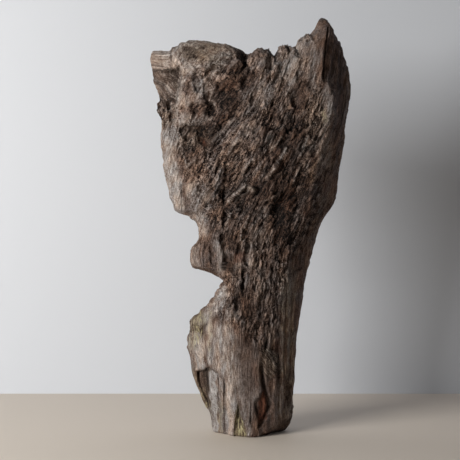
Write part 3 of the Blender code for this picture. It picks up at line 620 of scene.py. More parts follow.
def loft():
    """Points of the skin, ring by ring, and how much of the front's roughness each has.

    A ring goes from the left edge over the front to the right edge and back behind: x runs from edge
    to edge, z climbs to the top edge, and y is the outline's plane less or plus the depth there. Its
    steps stand a little closer together at both edges, by a share of a cosine.
    """
    over = np.linspace(0, 1, FRONT_STEPS + 1)
    back = np.linspace(1, 0, BACK_STEPS + 1)[1:-1]
    there = np.concatenate([over, back])
    across = 0.62 * there + 0.38 * (1 - np.cos(math.pi * there)) / 2
    front = (np.arange(len(there)) <= FRONT_STEPS) * 1.0
    climb = np.linspace(0, 1, RINGS + 1)
    climb, across = np.meshgrid(climb, across, indexing="ij")
    front = np.broadcast_to(front, climb.shape)

    top_x, top_z = np.array(TOP_EDGE, float).T
    z = climb * smooth(across, (top_x - top_x[0]) / (top_x[-1] - top_x[0]), top_z)
    left = along(LEFT_EDGE, climb * LEFT_EDGE[-1][0])
    right = along(RIGHT_EDGE, climb * RIGHT_EDGE[-1][0])
    x = left + across * (right - left)

    from_right = (right - x) / along(RIGHT_ROUND, z)
    slope = along(RIGHT_SLOPE, z) * front
    from_right = (1 - slope) * round_over(from_right) + slope * np.clip(from_right, 0, 1)
    rim = round_over((x - left) / along(LEFT_ROUND, z)) * from_right
    full = rim * crown_share(climb)
    unbroken = along(UNBROKEN_LEFT, z)
    place = np.clip((x - unbroken) / (right - unbroken), 0, 1)
    setback = (1 - place) * along(LEFT_SETBACK, z) + place * along(RIGHT_SETBACK, z)
    middle = PLANE_Y + setback * (2 * place - 1) ** 2
    face = middle - full * from_table(FRONT_DEPTH, z, place) - rim * front_forms(x, z)
    corner = np.clip((x - FOOT_WEAR_FROM) / FOOT_WEAR_RUN, 0, 1)
    face = face + rim * FOOT_WEAR * corner * np.clip(1 - z / (FOOT_WEAR_HEIGHT * corner + 1), 0, 1)
    behind = middle + full * from_table(BACK_DEPTH, z, place)
    behind = behind + rim * formed(x, z, BACK_SWELLINGS, BACK_GROOVES)
    face = np.minimum(face, behind - THINNEST * rim)
    y = np.where(front > 0, face, behind)
    near_edge = np.clip(1 - np.minimum(x - left, right - x) / BACK_FADE, 0, 1)
    behind_share = BACK_ROUGH + (1 - BACK_ROUGH) * near_edge
    return np.stack([x, y, z], axis=-1), np.where(front > 0, 1.0, behind_share)


def outward(points):
    """Unit normals of the skin, from the way to the next ring and the way round the ring."""
    up = np.gradient(points, axis=0)
    round_it = np.roll(points, -1, axis=1) - np.roll(points, 1, axis=1)
    normal = np.cross(round_it, up)
    return normal / np.maximum(np.linalg.norm(normal, axis=-1, keepdims=True), 1e-9)


def closing(ring, way):
    """Faces that join a ring's front to its back: a few steps of the front for each step of the back."""
    front = ring[: FRONT_STEPS + 1].tolist()
    back = [*ring[FRONT_STEPS:].tolist(), int(ring[0])][::-1]
    steps = FRONT_STEPS // BACK_STEPS
    faces = []
    for k in range(BACK_STEPS):
        corners = [*front[steps * k : steps * (k + 1) + 1], back[k + 1], back[k]]
        faces.append(list(dict.fromkeys(corners))[::way])
    return faces


def worn_foot(points):
    """Flatten the foot onto the floor and draw its lowest ring in, for a worn edge."""
    points[..., 2] = np.maximum(points[..., 2], 0)
    points[0, :, 2] = 0
    ring = points[0, :, :2]
    points[0, :, :2] = ring * (1 - FOOT_EDGE / np.linalg.norm(ring, axis=-1, keepdims=True))
    return points


shape, facing = loft()
normals = outward(shape)
height, torn, tips = relief(shape, facing)
skin = worn_foot(shape + normals * height[..., None])

rings, around = skin.shape[:2]
index = np.arange(rings * around).reshape(rings, around)
low, high = index[:-1], index[1:]
sides = np.stack([low, np.roll(low, -1, 1), np.roll(high, -1, 1), high], axis=-1).reshape(-1, 4)
mesh = bpy.data.meshes.new("driftwood_skin")
faces = [*sides.tolist(), *closing(index[-1], 1), *closing(index[0], -1)]
mesh.from_pydata((skin.reshape(-1, 3) * MM).tolist(), [], faces)
mesh.validate()
mesh.shade_smooth()
driftwood = bpy.data.objects.new("driftwood_skin", mesh)
bpy.context.scene.collection.objects.link(driftwood)
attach(driftwood, "root")
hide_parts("driftwood")


# The driftwood's finish: old softwood bleached and silvered by sun and salt where it is worn smooth,
# dark brown where its torn fibres keep the damp. It is dry, matt and never varnished. Painted shade
# darkens its hollows, cracks and turned-away sides, and painted highlights pale some of its edges.


def paint_points(mesh, name, values):
    """Keep one number for each point of the mesh, for the material to read."""
    layer = mesh.attributes.new(name, "FLOAT", "POINT")
    layer.data.foreach_set("value", np.ascontiguousarray(values, np.float32).ravel())


def linear(hex_colour):
    """An sRGB hex colour as the linear colour that a shader takes."""
    parts = [int(hex_colour[k : k + 2], 16) / 255 for k in (1, 3, 5)]
    return (*[p / 12.92 if p <= 0.04045 else ((p + 0.055) / 1.055) ** 2.4 for p in parts], 1.0)


def add(tree, kind, sockets=None, **settings):
    """Add a node: settings are its own choices, sockets are its inputs as values or other sockets."""
    made = tree.nodes.new(kind)
    for name, value in settings.items():
        setattr(made, name, value)
    for name, value in (sockets or {}).items():
        if isinstance(value, bpy.types.NodeSocket):
            tree.links.new(value, made.inputs[name])
        else:
            made.inputs[name].default_value = value
    return made


# Where the sun and the sea have bleached the wood, and where it has other stains: each is a plain
# outline in (x, height), how softly it fades in millimetres, and its strength. A few are painted highlights.
BLEACHED_AND_HIGHLIT = [
    (
        [(-130, 372), (-98, 366), (-97, 345), (-95, 328), (-88, 314), (-85, 299), (-84, 255), (-130, 255)],
        3.0, 1.0,
    ),
    ([(-130, 472), (-99, 468), (-97, 454), (-99, 441), (-130, 439)], 3.0, 1.0),
    ([(-96, 456), (-84, 450), (-66, 446), (-62, 436), (-82, 430), (-96, 438)], 3.0, 0.75),
    ([(-93, 414), (-86, 412), (-80, 404), (-62, 404), (-62, 395), (-88, 392), (-96, 384)], 3.0, 0.6),
    ([(-92, 384), (-66, 382), (-62, 374), (-86, 366), (-96, 372)], 4.0, 0.5),
    ([(-86, 116), (-64, 122), (-58, 116), (-57, 92), (-58, 77), (-72, 70), (-86, 84)], 2.5, 1.0),
    ([(-54, 150), (-48, 152), (-48, 84), (-53, 82)], 2.0, 0.9),
    (
        [
            (-47, 132), (-30, 134), (-18, 118), (-8, 106), (8, 98), (10, 84), (4, 40), (-18, 42), (-33, 70),
            (-46, 80),
        ],
        6.0, 0.62,
    ),
    ([(-51.5, 78), (-41, 74), (-41, 0), (-51.5, 0)], 1.4, 0.8),
    ([(-32, 66), (-22, 66), (-18, 38), (-24, -4), (-32, -4)], 3.0, 0.85),
    ([(-16, 46), (-3, 50), (-2, 20), (-3, 0), (-7, 0)], 3.0, 0.7),
    (
        [(-70, 134), (-56, 148), (-42, 168), (-34, 178), (-27, 170), (-36, 156), (-50, 140), (-62, 130)],
        3.0, 0.85,
    ),
    ([(-74, 264), (-58, 264), (-55, 240), (-64, 232), (-74, 236)], 4.0, 0.7),
    ([(40, 470), (62, 486), (78, 490), (80, 450), (70, 400), (46, 400), (34, 448)], 10.0, 0.28),
    ([(-80, 300), (-66, 300), (-64, 286), (-80, 284)], 3.0, 0.6),
    ([(74, 306), (80, 330), (80, 360), (84, 400), (92, 420), (98, 400), (98, 350), (94, 316)], 6.0, 0.42),
    ([(-110, 385), (-84, 372), (-82, 350), (-92, 330), (-98, 330)], 5.0, 0.5),
    ([(-46, 462), (-24, 462), (-19, 446), (-34, 440)], 5.0, 0.35),
    ([(28, 446), (34, 456), (56, 462), (60, 446), (46, 420), (32, 420)], 5.0, 0.65),
    ([(14, 462), (26, 460), (30, 436), (20, 430), (14, 440)], 5.0, 0.5),
    ([(-60, 424), (-46, 424), (-46, 396), (-60, 396)], 5.0, 0.45),
    ([(-104, 396), (-92, 398), (-88, 378), (-102, 374)], 3.0, 0.4),
    ([(-96, 374), (-76, 374), (-74, 356), (-92, 354)], 4.0, 0.6),
    ([(-12, 232), (6, 232), (6, 200), (-16, 200)], 5.0, 0.55),
    ([(0, 182), (16, 182), (16, 160), (0, 160)], 5.0, 0.3),
    ([(84, 312), (101, 314), (100, 282), (84, 262), (78, 272)], 4.0, 0.35),
    ([(40, 190), (54, 196), (54, 164), (42, 164)], 5.0, 0.35),
    ([(10, 276), (20, 276), (18, 258), (8, 258)], 4.0, 0.3),
    ([(-43, 232), (-34, 232), (-34, 190), (-43, 194)], 2.5, 0.5),
    ([(-58, 444), (-38, 442), (-40, 424), (-56, 424)], 5.0, 0.6),
    ([(-72, 424), (-60, 424), (-60, 404), (-72, 404)], 4.0, 0.5),
    ([(-12, 368), (6, 372), (8, 360), (-10, 354)], 4.0, 0.5),
    ([(16, 354), (26, 354), (28, 342), (18, 340)], 4.0, 0.4),
    ([(-62, 292), (-48, 292), (-48, 274), (-60, 274)], 5.0, 0.5),
    ([(-4, 246), (12, 246), (12, 226), (-2, 226)], 5.0, 0.45),
    ([(6, 200), (16, 200), (16, 188), (6, 188)], 5.0, 0.3),
    ([(-32, 156), (-16, 156), (-18, 140), (-30, 140)], 4.0, 0.5),
    ([(-40, 70), (-33, 66), (-33, 0), (-40, 0)], 1.5, 0.55),
    ([(16, 134), (30, 134), (30, 112), (18, 112)], 5.0, 0.35),
    ([(-76, 284), (-62, 284), (-60, 262), (-74, 262)], 4.0, 0.45),
    ([(-6, 424), (26, 424), (26, 402), (8, 388), (-6, 390)], 6.0, 0.3),
    ([(28, 66), (36, 66), (36, 4), (24, 4)], 4.0, 0.3),
    ([(-58, 464), (-40, 466), (-28, 454), (-46, 450), (-56, 454)], 5.0, 0.3),
    # A painted highlight along the lobe's top rim, where the light from above falls.
    ([(-96, 474), (-60, 482), (-14, 474), (-12, 460), (-56, 467), (-90, 463)], 3.0, 0.55),
    ([(-30, 80), (-20, 82), (-20, 44), (-32, 40)], 4.0, 0.75),
    ([(-98, 464), (-88, 466), (-86, 452), (-98, 450)], 3.0, 0.55),
    (
        [(-85, 441), (-77, 441), (-80, 428), (-84, 414), (-84, 400), (-91, 399), (-90, 413), (-85, 430)],
        1.5, 0.85,
    ),
    ([(-66, 440), (-60, 434), (-57, 412), (-60, 404), (-64, 414)], 2.0, 0.6),
    ([(84, 356), (97, 360), (97, 314), (84, 316)], 4.0, 0.6),
    ([(44, 462), (58, 474), (66, 476), (62, 460), (46, 452)], 5.0, 0.75),
    ([(30, 446), (42, 448), (42, 428), (28, 424)], 5.0, 0.75),
    ([(-106, 366), (-96, 370), (-94, 340), (-106, 340)], 3.0, 0.9),
    ([(-18, 218), (-8, 220), (-8, 202), (-18, 202)], 3.0, 0.6),
    ([(40, 50), (48, 54), (48, 20), (40, 16)], 2.5, 0.3),
    ([(34, 176), (38, 176), (37, 74), (33, 74)], 1.2, 0.35),
    ([(43, 186), (46, 186), (45, 80), (42, 80)], 1.2, 0.35),
    ([(-122, 388), (-106, 390), (-104, 378), (-118, 374)], 3.0, 0.3),
    ([(-68, 381), (-60, 384), (-44, 378), (-52, 375), (-64, 377)], 1.5, 0.35),
    ([(-112, 433), (-108, 434), (-95, 417), (-97, 415)], 1.0, 1.0),
    ([(-106, 424), (-104, 424), (-104, 404), (-106, 404)], 0.8, 0.8),
    ([(-101, 430), (-99, 430), (-92, 414), (-94, 414)], 0.8, 0.7),
    ([(-104, 403), (-101, 405), (-93, 397), (-96, 394)], 1.2, 0.9),
    ([(-46, 166), (-36, 176), (-32, 170), (-42, 156)], 2.0, 0.9),
    ([(-76, 230), (-66, 232), (-66, 200), (-76, 200)], 4.0, 0.4),
]
# Grey-green wood: the worn lobe, the hollow corner and the shaded rims.
GREYED = [
    (
        [(-94, 468), (-60, 480), (-20, 470), (-18, 456), (-36, 440), (-60, 442), (-82, 446), (-90, 452)],
        6.0, 0.42,
    ),
    ([(-130, 434), (-96, 440), (-86, 438), (-86, 430), (-92, 398), (-96, 372), (-130, 366)], 3.0, 1.0),
    ([(-130, 470), (-98, 466), (-98, 440), (-130, 440)], 3.0, 0.15),
    ([(-86, 366), (-60, 372), (-44, 360), (-52, 340), (-84, 344)], 5.0, 0.4),
    ([(60, 400), (80, 420), (90, 380), (80, 330), (60, 330)], 10.0, 0.25),
    ([(-84, 140), (-60, 146), (-56, 120), (-60, 100), (-84, 100)], 5.0, 0.6),
    ([(-50.5, 80), (-57, 77), (-68, 71), (-66, 60), (-53, 30), (-50.5, 30)], 1.5, 1.0),
    ([(7, 100), (14, 106), (30, 98), (31, 72), (18, 66), (12, 80)], 3.0, 0.6),
]
# Wood that has silvered to a cooler, bluish grey.
COOLED = [
    ([(-51.5, 80), (-42, 76), (-42, 0), (-51.5, 0)], 1.4, 1.0),
    ([(-19, 90), (0, 96), (4, 40), (-3, 0), (-7, 0), (-14, 38)], 5.0, 0.8),
    ([(-71, 430), (-60, 424), (-61, 408), (-70, 410)], 2.5, 1.0),
    ([(-86, 463), (-66, 463), (-66, 449), (-84, 449)], 4.0, 1.0),
    ([(90, 412), (97, 404), (96, 384), (90, 380)], 3.0, 1.0),
    ([(-48, 346), (-22, 378), (-16, 372), (-42, 340)], 4.0, 0.8),
    ([(-120, 438), (-86, 438), (-92, 398), (-112, 392)], 4.0, 0.9),
    ([(20, 190), (44, 190), (40, 150), (20, 150)], 8.0, 0.6),
]
# Where the break shows end grain, the fibres' own lines run across: an outline, the way across them,
# and how far they wave in millimetres. The waves are about 16 mm long, and the lines keep straighter
# through the wood and along themselves than across.
END_GRAIN_WAVE = 16.0
END_GRAIN_BACK = 20.0
ACROSS_THICKNESS, ALONG_LINE = 0.15, 0.4
END_GRAIN = [
    ([(-130, 480), (-98, 480), (-98, 438), (-130, 438)], (0.1, 1.0), 0.6),
    ([(-130, 438), (-98, 438), (-85, 430), (-92, 398), (-130, 392)], (0.7, 0.7), 4.0),
    ([(7, 100), (14, 106), (30, 98), (31, 72), (18, 66), (12, 80)], (0.75, 0.65), 2.0),
]
# Thin algae in the damp corners, and then a few places that have turned rusty brown.
MOSSY = [
    (
        [(-88, 100), (-84, 124), (-74, 144), (-64, 150), (-58, 140), (-60, 118), (-66, 104), (-76, 100)],
        4.0, 1.05,
    ),
    ([(-90, 76), (-72, 30), (-50, 20), (-52, 36), (-60, 52), (-66, 66), (-70, 74)], 2.5, 1.5),
    ([(-17, 40), (-7, 0), (-24, 0)], 1.4, 1.25),
    ([(-54, 150), (-49, 150), (-48, 100), (-52, 100)], 2.0, 0.5),
    ([(80, 390), (86, 388), (88, 374), (84, 370), (80, 378)], 2.5, 0.7),
    ([(-80, 470), (-40, 468), (-46, 446), (-80, 446)], 8.0, 0.14),
    ([(70, 320), (80, 330), (76, 304), (66, 300)], 6.0, 0.3),
    ([(-41, 40), (-37, 40), (-34, 0), (-42, 0)], 2.0, 0.5),
    ([(33, 190), (52, 200), (51, 4), (34, 4)], 4.0, 0.25),
]
RUSTY = [
    ([(14, 56), (4, 41), (8, 15), (14, 22), (17, 38)], 1.8, 1.0),
    ([(-22, 218), (-9, 219), (-9, 205), (-20, 203)], 2.0, 0.65),
    ([(-61, 353), (-56, 353), (-55, 345), (-60, 344)], 1.5, 0.9),
    ([(0, 88), (6, 90), (6, 60), (0, 60)], 4.0, 0.4),
    ([(86, 300), (92, 300), (90, 286), (84, 288)], 4.0, 0.5),
    ([(26, 116), (31, 116), (30, 100), (26, 100)], 2.5, 0.5),
]
# Darker places: damp stains in the torn wood, and painted shade in hollows and cracks, on the wing's
# underside and on the right flank, which turn away from the light.
DAMP_AND_SHADE = [
    # Painted shade on the wing's underside, which faces down and away from the light.
    ([(-50.5, 78), (-57, 74), (-68, 69), (-64, 54), (-54, 34), (-50.5, 30)], 2.5, 1.0),
    ([(22, 306), (46, 308), (60, 286), (50, 258), (44, 232), (26, 226), (22, 250)], 8.0, 0.9),
    ([(-44, 300), (36, 305), (58, 262), (40, 226), (-20, 226), (-42, 250)], 14.0, 0.35),
    ([(-88, 430), (-72, 430), (-66, 410), (-72, 402), (-92, 402)], 4.0, 0.2),
    ([(-83, 461), (-74, 464), (-62, 459), (-60, 449), (-81, 449)], 2.5, 0.55),
    # Painted shade in the peak's narrow crack.
    ([(90, 488), (91.6, 488), (87, 440), (85.4, 426), (84, 426), (85.2, 450)], 0.6, 0.9),
    ([(-40, 296), (-26, 280), (-14, 292), (-4, 292), (10, 268), (-10, 256), (-36, 268)], 5.0, 0.6),
    ([(-44, 424), (-18, 426), (-12, 396), (-18, 378), (-38, 388), (-42, 396)], 5.0, 0.85),
    ([(-20, 433), (4, 434), (6, 414), (-16, 410)], 5.0, 0.75),
    ([(-32, 448), (-12, 448), (-12, 430), (-30, 430)], 5.0, 0.45),
    ([(-46, 384), (-30, 386), (-30, 366), (-44, 364)], 5.0, 0.8),
    ([(-76, 402), (-58, 402), (-58, 379), (-74, 380)], 3.0, 0.5),
    ([(54, 426), (68, 424), (66, 392), (52, 376), (44, 380), (50, 402)], 5.0, 0.85),
    ([(40, 378), (64, 380), (66, 352), (44, 338), (34, 345)], 5.0, 0.85),
    ([(10, 368), (20, 370), (20, 354), (10, 354)], 4.0, 0.5),
    ([(-58, 360), (-42, 362), (-42, 342), (-56, 342)], 4.0, 0.95),
    ([(26, 360), (44, 362), (44, 340), (26, 330)], 5.0, 0.95),
    ([(14, 312), (28, 312), (24, 276), (2, 268)], 6.0, 0.85),
    ([(-14, 268), (4, 270), (4, 252), (-12, 252)], 6.0, 0.6),
    ([(24, 258), (46, 258), (42, 238), (28, 238)], 5.0, 0.95),
    ([(-32, 214), (-24, 214), (-24, 194), (-32, 194)], 3.0, 0.7),
    ([(22, 348), (34, 350), (34, 326), (22, 326)], 5.0, 0.75),
    ([(14, 330), (28, 330), (28, 296), (16, 296)], 5.0, 0.7),
    ([(22, 262), (52, 262), (48, 236), (22, 236)], 6.0, 0.8),
    ([(14, 208), (28, 208), (28, 192), (14, 192)], 4.0, 0.6),
    ([(68, 334), (80, 334), (80, 314), (68, 314)], 4.0, 0.6),
    ([(22, 392), (34, 392), (34, 376), (22, 376)], 4.0, 0.65),
    ([(30, 236), (46, 236), (46, 212), (30, 212)], 5.0, 0.8),
    ([(14, 222), (28, 222), (28, 204), (14, 204)], 5.0, 0.45),
    ([(-80, 344), (-62, 350), (-60, 332), (-76, 320)], 5.0, 0.6),
    ([(30, 362), (56, 366), (60, 330), (46, 286), (24, 292), (18, 310)], 6.0, 0.75),
    ([(-40, 314), (-26, 314), (-24, 298), (-38, 296)], 5.0, 0.5),
    ([(2, 304), (22, 304), (22, 276), (6, 276)], 5.0, 0.85),
    ([(-26, 275), (-6, 291), (1, 287), (-4, 278), (-18, 270)], 2.0, 0.6),
    ([(-36, 282), (-30, 280), (-16, 293), (-20, 298)], 2.0, 0.6),
    ([(28, 288), (44, 288), (44, 266), (28, 266)], 6.0, 0.4),
    ([(54, 312), (76, 312), (72, 262), (54, 262)], 6.0, 0.7),
    ([(-22, 116), (10, 108), (6, 60), (-2, 40), (-2, 0), (-10, 30), (-16, 66)], 10.0, 0.85),
    ([(30, 18), (50, 18), (50, 0), (30, 0)], 5.0, 0.45),
    ([(6, 142), (20, 142), (20, 124), (6, 124)], 5.0, 0.4),
    ([(-30, 240), (-16, 240), (-15, 216), (-28, 216)], 4.0, 0.7),
    ([(-52, 260), (-40, 260), (-40, 242), (-52, 242)], 4.0, 0.4),
    # Painted shade on the right flank, which faces away from the light.
    ([(98, 474), (116, 450), (124, 420), (118, 360), (104, 360), (104, 440)], 3.0, 0.95),
    ([(-120, 432), (-97, 434), (-92, 404), (-98, 390), (-114, 396)], 3.0, 0.4),
    ([(-120, 436), (-100, 436), (-96, 424), (-116, 421)], 3.0, 0.75),
    ([(-112, 411), (-98, 413), (-94, 397), (-106, 392)], 2.5, 0.95),
    ([(-97, 440), (-86.5, 438), (-86.5, 430), (-92, 413), (-92.5, 398), (-97, 398), (-97, 414)], 1.2, 0.8),
    ([(-68, 372), (-50, 374), (-43, 360), (-45, 342), (-66, 346)], 3.0, 0.8),
    ([(-84, 371), (-70, 372), (-68, 356), (-82, 354)], 3.0, 0.35),
    ([(-102, 401), (-97, 400), (-95, 388), (-98, 378), (-102, 382)], 1.2, 0.8),
    ([(-18, 176), (0, 178), (10, 150), (-4, 136), (-16, 146)], 6.0, 0.6),
    ([(15, 57), (23, 38), (9, 12), (17, 36)], 1.6, 0.5),
    ([(8, 84), (13, 84), (13, 66), (17, 57), (12, 57), (9, 68)], 1.5, 0.8),
    ([(28, 130), (34, 130), (36, 60), (29, 60)], 2.0, 0.35),
    ([(41, 56), (46, 60), (48, 50), (43, 30), (40, 40)], 2.0, 0.5),
    ([(88, 470), (96, 400), (90, 340), (80, 270), (120, 260), (130, 420), (104, 480)], 6.0, 0.25),
]


def stained(x, z, outlines):
    """How strongly a list of outlines stains each place: the strongest of those that it lies in."""
    return np.max([strength * area(x, z, corners, soft) for corners, soft, strength in outlines], axis=0)


# Noise makes the stains' outlines ragged: its size and its push. They fade out behind the front, where
# the wood is silvered instead.
RAGGED = (9.0, 2.5)
FRONT_BEFORE, FRONT_FADE = 14.0, 24.0
SILVER_SHARE = 0.45
SILVER_PATCH = (30, 30, 60)

places = skin[..., 0], skin[..., 2]
ragged = warped(skin, *RAGGED, SEED + 40)
ragged = ragged[..., 0], ragged[..., 2]
grain_layer = mesh.attributes.new("grain", "FLOAT_VECTOR", "POINT")
fibres = grain_places(skin)
for corners, (right_share, up_share), wave in END_GRAIN:
    inside = (area(*places, corners, 0.1) > 0.5) & (skin[..., 1] < END_GRAIN_BACK)
    waved = warped(skin, END_GRAIN_WAVE, wave, SEED + 70)
    turned_across = right_share * waved[..., 0] + up_share * waved[..., 2]
    turned_along = up_share * waved[..., 0] - right_share * waved[..., 2]
    through = ACROSS_THICKNESS * skin[..., 1]
    turned = np.stack([turned_across, through, ALONG_LINE * turned_along], axis=-1)
    fibres = np.where(inside[..., None], turned, fibres)
grain_layer.data.foreach_set("vector", (fibres * MM).astype(np.float32).ravel())

# Torn wood is darkest where it lies low among the fibres or in a large hollow: partly dirt in its soft wood,
# partly painted shade. The long fibres' edges are bleached and stay dry, and are painted pale as a highlight
# too.
in_front = np.clip((FRONT_BEFORE - skin[..., 1]) / FRONT_FADE, 0, 1)
forms = front_forms(*places) * in_front
paint_points(mesh, "torn", torn)
# Painted shade: darker where the relief lies low and in grooves and low areas, paler on the standing fibres.
paint_points(mesh, "hollow", np.clip(0.45 - 0.5 * tips * torn - 0.05 * forms, 0, 1))
silvered = SILVER_SHARE * (1 - in_front) * np.clip(0.6 + 1.2 * noise(skin / SILVER_PATCH, SEED + 60), 0, 1)
# Painted highlight along the long fibres' edges, over their own bleached colour.
edge_bleach_and_highlight = np.clip(0.38 * ridges(*places) - 0.2, 0, 1)
bleached_and_highlit = np.maximum(stained(*ragged, BLEACHED_AND_HIGHLIT), edge_bleach_and_highlight) * in_front
paint_points(mesh, "bleached_and_highlit", np.maximum(bleached_and_highlit, silvered))
paint_points(mesh, "damp_and_shade", stained(*ragged, DAMP_AND_SHADE) * in_front * (1 - edge_bleach_and_highlight))
for name, outlines in (("greyed", GREYED), ("cooled", COOLED), ("mossy", MOSSY), ("rusty", RUSTY)):
    paint_points(mesh, name, stained(*ragged, outlines) * in_front)

# Weathered softwood, dry and matt: its hard fibres catch the light, its soft wood between is sunk and dark.
# The patterns follow the grain. Each has its size in millimetres across and along it, its detail and how
# rough it is. Real fibres are finer than these, which are drawn as coarse as they need to show.
GRAIN_PATTERNS = {
    "fibre": (1.667, 11.11, 4.0, 0.75),
    "streak": (3.03, 41.67, 4.0, 0.5),
    "blotch": (11.11, 25.0, 4.0, 0.5),
    "mottle": (10.53, 16.67, 3.0, 0.6),
    "check": (4.0, 33.33, 3.0, 0.5),
}
SPECKLE_SIZE = 1.613
BUMP_HEIGHT = 1.5

finish = bpy.data.materials.new("weathered_softwood")
finish.use_nodes = True
tree = finish.node_tree
shader = tree.nodes["Principled BSDF"]
shader.inputs["Roughness"].default_value = 0.88
shader.inputs["Specular IOR Level"].default_value = 0.3
here = {
    name: add(tree, "ShaderNodeAttribute", attribute_name=name).outputs["Fac"]
    for name in ("torn", "hollow", "bleached_and_highlit", "greyed", "cooled", "mossy", "rusty", "damp_and_shade")
}
grain = add(tree, "ShaderNodeAttribute", attribute_name="grain").outputs["Vector"]
pattern = {}
for name, (across_it, along_it, detail, rough) in GRAIN_PATTERNS.items():
    scale = (1 / (across_it * MM), 1 / (across_it * MM), 1 / (along_it * MM))
    spread = add(tree, "ShaderNodeMapping", {"Vector": grain, "Scale": scale}).outputs["Vector"]
    pattern[name] = add(
        tree, "ShaderNodeTexNoise", {"Vector": spread, "Scale": 1.0, "Detail": detail, "Roughness": rough}
    ).outputs["Fac"]
# Salt and grit have pitted the wood all over.
speckle = add(
    tree, "ShaderNodeTexNoise",
    {
        "Vector": add(tree, "ShaderNodeTexCoord").outputs["Object"],
        "Scale": 1 / (SPECKLE_SIZE * MM), "Detail": 2.0, "Roughness": 0.7,
    },
).outputs["Fac"]
speckle = add(
    tree, "ShaderNodeMapRange", {"Value": speckle, "From Min": 0.37, "From Max": 0.63}
).outputs["Result"]

# Torn wood is pale on the fibres that stand up and dark between them.
fibre_tops = add(
    tree, "ShaderNodeMapRange", {"Value": pattern["fibre"], "From Min": 0.41, "From Max": 0.59}
).outputs["Result"]
texture = add(tree, "ShaderNodeMix", {0: 0.42, 2: fibre_tops, 3: speckle}).outputs[0]
lit = add(tree, "ShaderNodeMath", {0: texture, 1: 2.0}, operation="MULTIPLY").outputs[0]
# Here the painted shade of the sunk places darkens the torn wood.
lit = add(tree, "ShaderNodeMath", {0: lit, 1: here["hollow"]}, operation="SUBTRACT").outputs[0]
lit = add(tree, "ShaderNodeMapRange", {"Value": lit, "From Min": 0.05, "From Max": 1.12}).outputs["Result"]
torn_wood = add(
    tree, "ShaderNodeMix", {0: lit, 6: linear("#140d0a"), 7: linear("#b9aca1")}, data_type="RGBA"
).outputs[2]
# Worn wood is smoother and streaked along the grain, with a slow mottle.
worn_share = add(tree, "ShaderNodeMix", {0: 0.6, 2: pattern["streak"], 3: pattern["mottle"]}).outputs[0]
worn_share = add(tree, "ShaderNodeMath", {0: worn_share, 1: 0.45}, operation="MULTIPLY").outputs[0]
worn_share = add(
    tree, "ShaderNodeMath", {0: texture, 1: 0.32, 2: worn_share}, operation="MULTIPLY_ADD"
).outputs[0]
worn_share = add(
    tree, "ShaderNodeMapRange", {"Value": worn_share, "From Min": 0.2, "From Max": 0.58}
).outputs["Result"]
worn_wood = add(
    tree, "ShaderNodeMix", {0: worn_share, 6: linear("#3e322b"), 7: linear("#968a81")}, data_type="RGBA"
).outputs[2]
wood = add(tree, "ShaderNodeMix", {0: here["torn"], 6: worn_wood, 7: torn_wood}, data_type="RGBA").outputs[2]
# Both go from bluish grey to a warm one in blotches, and bleached wood is the same but far paler.
tint_share = add(
    tree, "ShaderNodeMapRange", {"Value": pattern["blotch"], "From Min": 0.35, "From Max": 0.65}
).outputs["Result"]
warm_share = add(tree, "ShaderNodeMath", {0: 1.0, 1: here["cooled"]}, operation="SUBTRACT").outputs[0]
tint_share = add(tree, "ShaderNodeMath", {0: tint_share, 1: warm_share}, operation="MULTIPLY").outputs[0]
tint = add(
    tree, "ShaderNodeMix", {0: tint_share, 6: linear("#dbe2f0"), 7: linear("#ffe9dc")}, data_type="RGBA"
).outputs[2]
wood = add(
    tree, "ShaderNodeMix", {0: 1.0, 6: wood, 7: tint}, data_type="RGBA", blend_type="MULTIPLY"
).outputs[2]
pale_wood = add(
    tree, "ShaderNodeMix", {0: worn_share, 6: linear("#7d736b"), 7: linear("#f8efe6")}, data_type="RGBA"
).outputs[2]
pale_wood = add(
    tree, "ShaderNodeMix", {0: 0.6, 6: pale_wood, 7: tint}, data_type="RGBA", blend_type="MULTIPLY"
).outputs[2]
# The stains lie over it in turn: grey-green, bleached with some painted highlights, algae, rust, and damp
# with painted shade.
grey_wood = add(
    tree, "ShaderNodeMix", {0: lit, 6: linear("#28241f"), 7: linear("#a39b8f")}, data_type="RGBA"
).outputs[2]
wood = add(tree, "ShaderNodeMix", {0: here["greyed"], 6: wood, 7: grey_wood}, data_type="RGBA").outputs[2]
wood = add(tree, "ShaderNodeMix", {0: here["bleached_and_highlit"], 6: wood, 7: pale_wood}, data_type="RGBA").outputs[2]
moss_share = add(tree, "ShaderNodeMath", {0: here["mossy"], 1: fibre_tops}, operation="MULTIPLY").outputs[0]
moss = add(
    tree, "ShaderNodeMix", {0: fibre_tops, 6: linear("#4e4830"), 7: linear("#b8ae8a")}, data_type="RGBA"
).outputs[2]
wood = add(tree, "ShaderNodeMix", {0: moss_share, 6: wood, 7: moss}, data_type="RGBA").outputs[2]
rust = add(
    tree, "ShaderNodeMix", {0: fibre_tops, 6: linear("#38231a"), 7: linear("#8f6350")}, data_type="RGBA"
).outputs[2]
wood = add(tree, "ShaderNodeMix", {0: here["rusty"], 6: wood, 7: rust}, data_type="RGBA").outputs[2]
# Damp stains and painted shade darken the wood by multiplying it.
wood = add(
    tree, "ShaderNodeMix", {0: here["damp_and_shade"], 6: wood, 7: linear("#8f8580")},
    data_type="RGBA", blend_type="MULTIPLY",
).outputs[2]
# Thin drying checks run along the fibres.
checks = add(tree, "ShaderNodeMath", {0: pattern["check"], 1: 0.5}, operation="SUBTRACT").outputs[0]
checks = add(tree, "ShaderNodeMath", {0: checks}, operation="ABSOLUTE").outputs[0]
checks = add(
    tree, "ShaderNodeMapRange", {"Value": checks, "From Min": 0.004, "From Max": 0.03}
).outputs["Result"]
checked = add(
    tree, "ShaderNodeMix", {0: checks, 6: linear("#7a6458"), 7: linear("#ffffff")}, data_type="RGBA"
).outputs[2]
check_share = add(
    tree, "ShaderNodeMapRange", {"Value": here["torn"], "To Min": 0.3, "To Max": 1.0}
).outputs["Result"]
wood = add(
    tree, "ShaderNodeMix", {0: check_share, 6: wood, 7: checked}, data_type="RGBA", blend_type="MULTIPLY"
).outputs[2]
